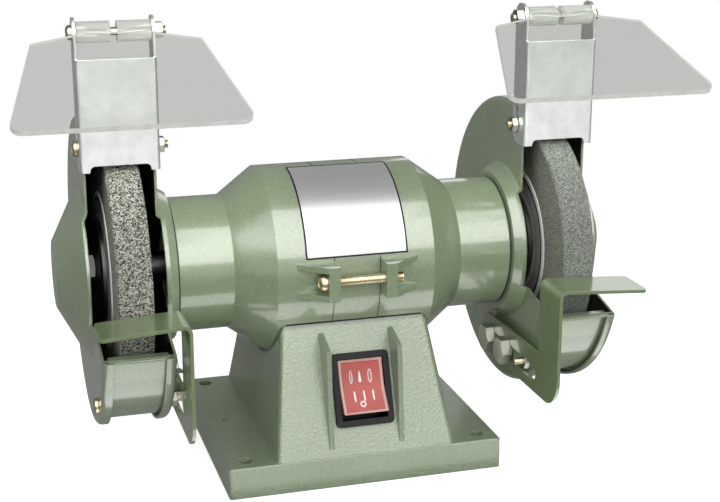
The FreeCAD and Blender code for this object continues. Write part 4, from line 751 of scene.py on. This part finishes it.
def make_rocker():
    """A body lofted across its width: rounded sides, a rim and a recessed panel between."""
    places = [-ROCKER_REACH + 2 * ROCKER_REACH * i / ROCKER_STEPS for i in range(ROCKER_STEPS + 1)]
    edge = ((ROCKER_HALF, 0.5, 0), (ROCKER_HALF - 0.15, 0.15, 0), (ROCKER_HALF - 0.5, 0, 0),
            (PANEL_EDGE, 0, 0), (PANEL_HALF, 0, RECESS))
    stations = [(-x, inset, recess) for x, inset, recess in edge] + list(reversed(edge))
    panel_row = len(edge) - 1
    rows = []
    for x, inset, recess in stations:
        top = [(y, rocker_top(y) - (recess if abs(y) < PANEL_REACH else 0)) for y in places]
        rows.append([(x, y * (1 - inset / ROCKER_REACH), z - inset * 0.6)
                     for y, z in top + list(ROCKER_FOOT)])
    shape = Shape().rings(rows, ROCKER)
    quarter = Matrix.Rotation(math.radians(90), 4, "Y")
    for sign in (-1, 1):
        stub = ROCKER @ Matrix.Translation((sign * ROCKER_HALF, 0, 0)) @ quarter
        shape.rings([circle(STUB_RADIUS, level, 24) for level in (-STUB_HALF, STUB_HALF)], stub)
    item = shape.build("switch_rocker_dished", "switch_rocker", "red_plastic", "switch_rocker",
                       sharp=40)
    # Painted sheen: the rounded sides, the rim and the panel's ends take the paler red
    item.data.materials.append(materials["red_sheen"])
    count = len(rows[0])
    for row in range(len(rows) - 1):
        for i in range(ROCKER_STEPS):
            if row != panel_row or i in SHEEN_STEPS:
                item.data.polygons[row * count + i].material_index = 1


def stroke(shape, x, low, high, width, taper=0.0, steps=12):
    """A slim raised bar that follows the rocker's face."""
    rows = []
    for i in range(steps + 1):
        y = low + (high - low) * i / steps
        round_off = math.sqrt(max(0.03, 1 - abs(2 * i / steps - 1) ** 6))
        half = width / 2 * round_off * (1 - taper * i / steps)
        top = face_height(y)
        rows.append([(x - half, y, top - 0.1), (x + half, y, top - 0.1),
                     (x + half * 0.8, y, top + 0.05), (x - half * 0.8, y, top + 0.05)])
    shape.rings(rows, ROCKER)


def oval(shape, x, y, across, tall, thick):
    """A raised ring that follows the rocker's face."""
    rows = []
    for turn in round_trip(36):
        row = []
        for angle in round_trip(10):
            out = thick * math.cos(angle)
            place = y + (tall + out) * math.sin(turn)
            row.append((x + (across + out) * math.cos(turn), place,
                        face_height(place) + 0.1 * math.sin(angle) - 0.03))
        rows.append(row)
    shape.rings(rows, ROCKER, True)


def make_marks():
    """Plain rings and strokes: a row on the upper half, and strokes over a ring on the lower."""
    marks = Shape()
    oval(marks, x=-5.2, y=5, across=0.6, tall=3, thick=0.32)
    stroke(marks, x=-0.8, low=2.2, high=8, width=2.1, taper=0.75)
    oval(marks, x=4.4, y=5, across=0.8, tall=3.1, thick=0.32)
    for x in (-4.4, 0.4, 5):
        stroke(marks, x, low=-7.4, high=-1.8, width=1.05)
    oval(marks, x=-0.9, y=-8.6, across=1.15, tall=1.25, thick=0.45)
    marks.build("switch_marks", "switch_rocker", "red_plastic", sharp=40, material="pale_plastic")


make_rocker()
make_marks()


# Dark joints beside the stator band, and black rings at the hubs that are painted shade for the gap
# between bell and guard, in millimetres

JOINT_OUT, JOINT_IN = 11.65, 11.3
JOINT_FOOT, JOINT_TOP = 46.4, 46.73
HUB_SHADE_OUT, HUB_SHADE_IN = 84.97, 83.9
HUB_SHADE_FOOT, HUB_SHADE_TOP = 32.2, 33.3


def seam(shape, *section):
    """A ring about the spindle; its section is given as (x, radius) points."""
    rows = []
    for angle in round_trip(128):
        across, up = math.cos(angle) * MM, math.sin(angle) * MM
        rows.append([(x * MM, SHAFT_Y + r * across, SHAFT_Z + r * up) for x, r in section])
    return shape.rings(rows, closed=True)


joints = Shape()
for side, sign in SIDES:
    low, high = sign * JOINT_OUT, sign * JOINT_IN
    seam(joints, (low, JOINT_FOOT), (high, JOINT_FOOT), (high, JOINT_TOP), (low, JOINT_TOP))
    # Painted shade: a black ring where the bell's boss meets the guard's hub
    hub_shade = seam(Shape(), (sign * HUB_SHADE_OUT, HUB_SHADE_FOOT), (sign * HUB_SHADE_IN, HUB_SHADE_TOP),
                (sign * HUB_SHADE_OUT, HUB_SHADE_TOP))
    hub_shade.build(side + "_hub_shadow_ring", "frame", "black_rubber")
joints.build("stator_joints", "frame", "black_rubber", material="dark_line")

# Painted shadow: a dark line where the pedestal's head meets the barrel, front and back

HEAD_HALF, HEAD_REACH, HEAD_TOP = 34.4, 40.35, 76.6
SHADOW_LINE_SECTION = ((-0.2, 0), (0.28, 0.46), (0.16, -0.4))
saddle_shade = Shape()
for facing in (-1, 1):
    saddle_shade.rings([[(x * MM, SHAFT_Y + facing * (HEAD_REACH + out) * MM, (HEAD_TOP + up) * MM)
                   for out, up in SHADOW_LINE_SECTION] for x in (-HEAD_HALF, 0, HEAD_HALF)])
# The dark strip is painted shade for the gap between pedestal and barrel
saddle_shade.build("saddle_shadow_lines", "frame", "black_rubber", material="dark_line")

# Thin dark border printed on the name plate; angles are degrees up from the front

BORDER_FOOT, BORDER_THICK = 47.03, 0.05
BORDER_LEFT, BORDER_RIGHT, BORDER_WIDE = -25.45, 24.65, 0.8
BORDER_LOW, BORDER_SWEEP, BORDER_TURN = 12.5, 71.0, 1.0


def curved_strip(shape, x_low, x_high, start, sweep):
    """A strip on the name plate."""
    steps = max(2, int(sweep / 1.5))
    foot, top = BORDER_FOOT, BORDER_FOOT + BORDER_THICK
    rows = []
    for i in range(steps + 1):
        angle = math.radians(start + sweep * i / steps)
        across, up = math.cos(angle) * MM, math.sin(angle) * MM
        rows.append([(x * MM, SHAFT_Y - r * across, SHAFT_Z + r * up)
                     for x, r in ((x_low, foot), (x_high, foot), (x_high, top), (x_low, top))])
    shape.rings(rows)


border = Shape()
for x in (BORDER_LEFT, BORDER_RIGHT):
    curved_strip(border, x, x + BORDER_WIDE, BORDER_LOW, BORDER_SWEEP)
for angle in (BORDER_LOW, BORDER_LOW + BORDER_SWEEP - BORDER_TURN):
    curved_strip(border, -BORDER_RIGHT, BORDER_RIGHT, angle, BORDER_TURN)
border.build("name_plate_border", "frame", "plate_alloy", sharp=40, material="dark_line")


# Studio, in metres

UP = Vector((0, 0, 1))
MIDDLE = Vector((0, 0, 0.1))
BOX_DISTANCE = 1.3
BOXES = (  # name, bearing and height in degrees, size, level, and the rays it is hidden from
    ("soft_bank", -15, 45, (2.9, 1.6), 5.2, "diffuse"),
    ("front_box", 2, 22, (0.9, 0.6), 3.5, "glossy"),
    ("left_box", -65, 25, (0.5, 0.7), 0.9, "glossy"),
    ("right_box", 60, 25, (0.5, 0.7), 1.8, "glossy"),
    ("back_box", 200, 50, (1.4, 0.8), 1.0, "glossy"),
    ("back_card", 150, 17, (0.45, 0.35), 1.3, "diffuse"),
)
TABLE_CARDS = (  # name, place, size, level: cards on the table that only reflections show
    ("table_card", (0, -0.102, 0.0005), (0.32, 0.062), 2.9),
    ("left_table_card", (-0.125, -0.056, 0.0005), (0.07, 0.03), 2.2),
    ("right_table_card", (0.125, -0.056, 0.0005), (0.07, 0.03), 2.2),
)
FLOOR_HALF = 6
FLOOR_NEAR, FLOOR_FAR = 0.22, 0.6


def add_light(name, place, aim, size, level, hidden_from):
    """A soft box; its level is the brightness of its face."""
    lamp = bpy.data.lights.new(name, "AREA")
    lamp.shape = "RECTANGLE"
    lamp.size, lamp.size_y = size
    lamp.energy = level * math.pi * size[0] * size[1]
    item = linked(name, lamp)
    item.location = place
    item.rotation_euler = aim.to_track_quat("-Z", "Y").to_euler()
    item.visible_camera = False
    setattr(item, "visible_" + hidden_from, False)


def add_box(name, bearing, height, size, level, hidden_from):
    """A soft box that faces the object."""
    turn, rise = math.radians(bearing), math.radians(height)
    way = Vector((math.sin(turn) * math.cos(rise), -math.cos(turn) * math.cos(rise),
                  math.sin(rise)))
    add_light(name, MIDDLE + way * BOX_DISTANCE, -way, size, level, hidden_from)


def make_floor():
    """Pale paper that keeps the shadow near the object and is plain white further off."""
    corners = [(x * FLOOR_HALF, y * FLOOR_HALF, 0) for x, y in ((-1, -1), (1, -1), (1, 1), (-1, 1))]
    item = Shape().add(corners, [(0, 1, 2, 3)]).object("floor")
    item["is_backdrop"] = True
    m = Material("floor_paper")
    reach = m.add("VectorMath", {"operation": "LENGTH"})
    m.put(reach.inputs[0], m.place)
    far = m.span(reach.outputs["Value"], FLOOR_NEAR, FLOOR_FAR)
    path = m.add("LightPath").outputs
    seen = m.math("MAXIMUM", path["Is Camera Ray"], m.share(path["Is Transmission Ray"], 0.65))
    paper = m.mix(m.noise(400, 2), (0.78, 0.78, 0.78, 1), (0.82, 0.82, 0.82, 1))
    unlit = m.math("MAXIMUM", far, path["Is Glossy Ray"])
    matt = m.add("BsdfDiffuse", None, Color=m.mix(unlit, paper, BLACK))
    shown = m.share(seen, m.span(far, 0, 1, 0.7, 1.0))
    parts = m.add("SeparateXYZ", None, Vector=m.place).outputs
    mirrored = m.share(path["Is Glossy Ray"], m.span(parts["Y"], -0.4, -0.9, 0.22, 1.0))
    glow = m.add("Emission", None, Strength=m.math("MAXIMUM", shown, mirrored))
    both = m.add("AddShader")
    m.put(both.inputs[0], matt.outputs[0])
    m.put(both.inputs[1], glow.outputs[0])
    m.put(m.tree.nodes["Material Output"].inputs[0], both.outputs[0])
    item.data.materials.append(m.material)


def make_world():
    """White to the eye, dim all round for soft fill, and a darker room behind in reflections."""
    world = bpy.data.worlds.new("studio")
    world.use_nodes = True
    tree = world.node_tree
    bpy.context.scene.world = world

    def background(level):
        item = tree.nodes.new("ShaderNodeBackground")
        item.inputs[0].default_value = (1, 1, 1, 1)
        item.inputs[1].default_value = level
        return item

    def choose(factor, first, second):
        item = tree.nodes.new("ShaderNodeMixShader")
        for socket, value in zip(item.inputs, (factor, first.outputs[0], second.outputs[0])):
            tree.links.new(value, socket)
        return item

    way = tree.nodes.new("ShaderNodeTexCoord")
    split = tree.nodes.new("ShaderNodeSeparateXYZ")
    tree.links.new(way.outputs["Generated"], split.inputs[0])

    def along(axis, start, end, low, high):
        item = tree.nodes.new("ShaderNodeMapRange")
        tree.links.new(split.outputs[axis], item.inputs["Value"])
        limits = {"From Min": start, "From Max": end, "To Min": low, "To Max": high}
        for socket, value in limits.items():
            item.inputs[socket].default_value = value
        return item.outputs[0]

    room = choose(along("Y", 0.1, -0.6, 0, 1), background(0.25), background(1.0))
    path = tree.nodes.new("ShaderNodeLightPath").outputs
    mirrored = choose(path["Is Glossy Ray"], background(0.42), room)
    backdrop = background(1.0)
    tree.links.new(along("X", -0.4, 0.4, 0.52, 0.74), backdrop.inputs[1])
    through = choose(path["Is Transmission Ray"], mirrored, backdrop)
    shown = choose(path["Is Camera Ray"], through, background(1.0))
    tree.links.new(shown.outputs[0], tree.nodes["World Output"].inputs[0])


make_floor()
make_world()
for box in BOXES:
    add_box(*box)
for name, place, size, level in TABLE_CARDS:
    add_light(name, place, UP, size, level, "diffuse")

camera = bpy.data.cameras.new("photo_camera")
camera.sensor_width = 36
camera.lens = 71.22
camera.clip_start = 0.01
viewer = linked("photo_camera", camera)
viewer.location = (-0.18368, -0.67442, 0.29987)
viewer.rotation_euler = (math.radians(74.11), 0, math.radians(-16.33))
bpy.context.scene.camera = viewer
bpy.context.scene.view_settings.view_transform = "Standard"

low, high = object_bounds()
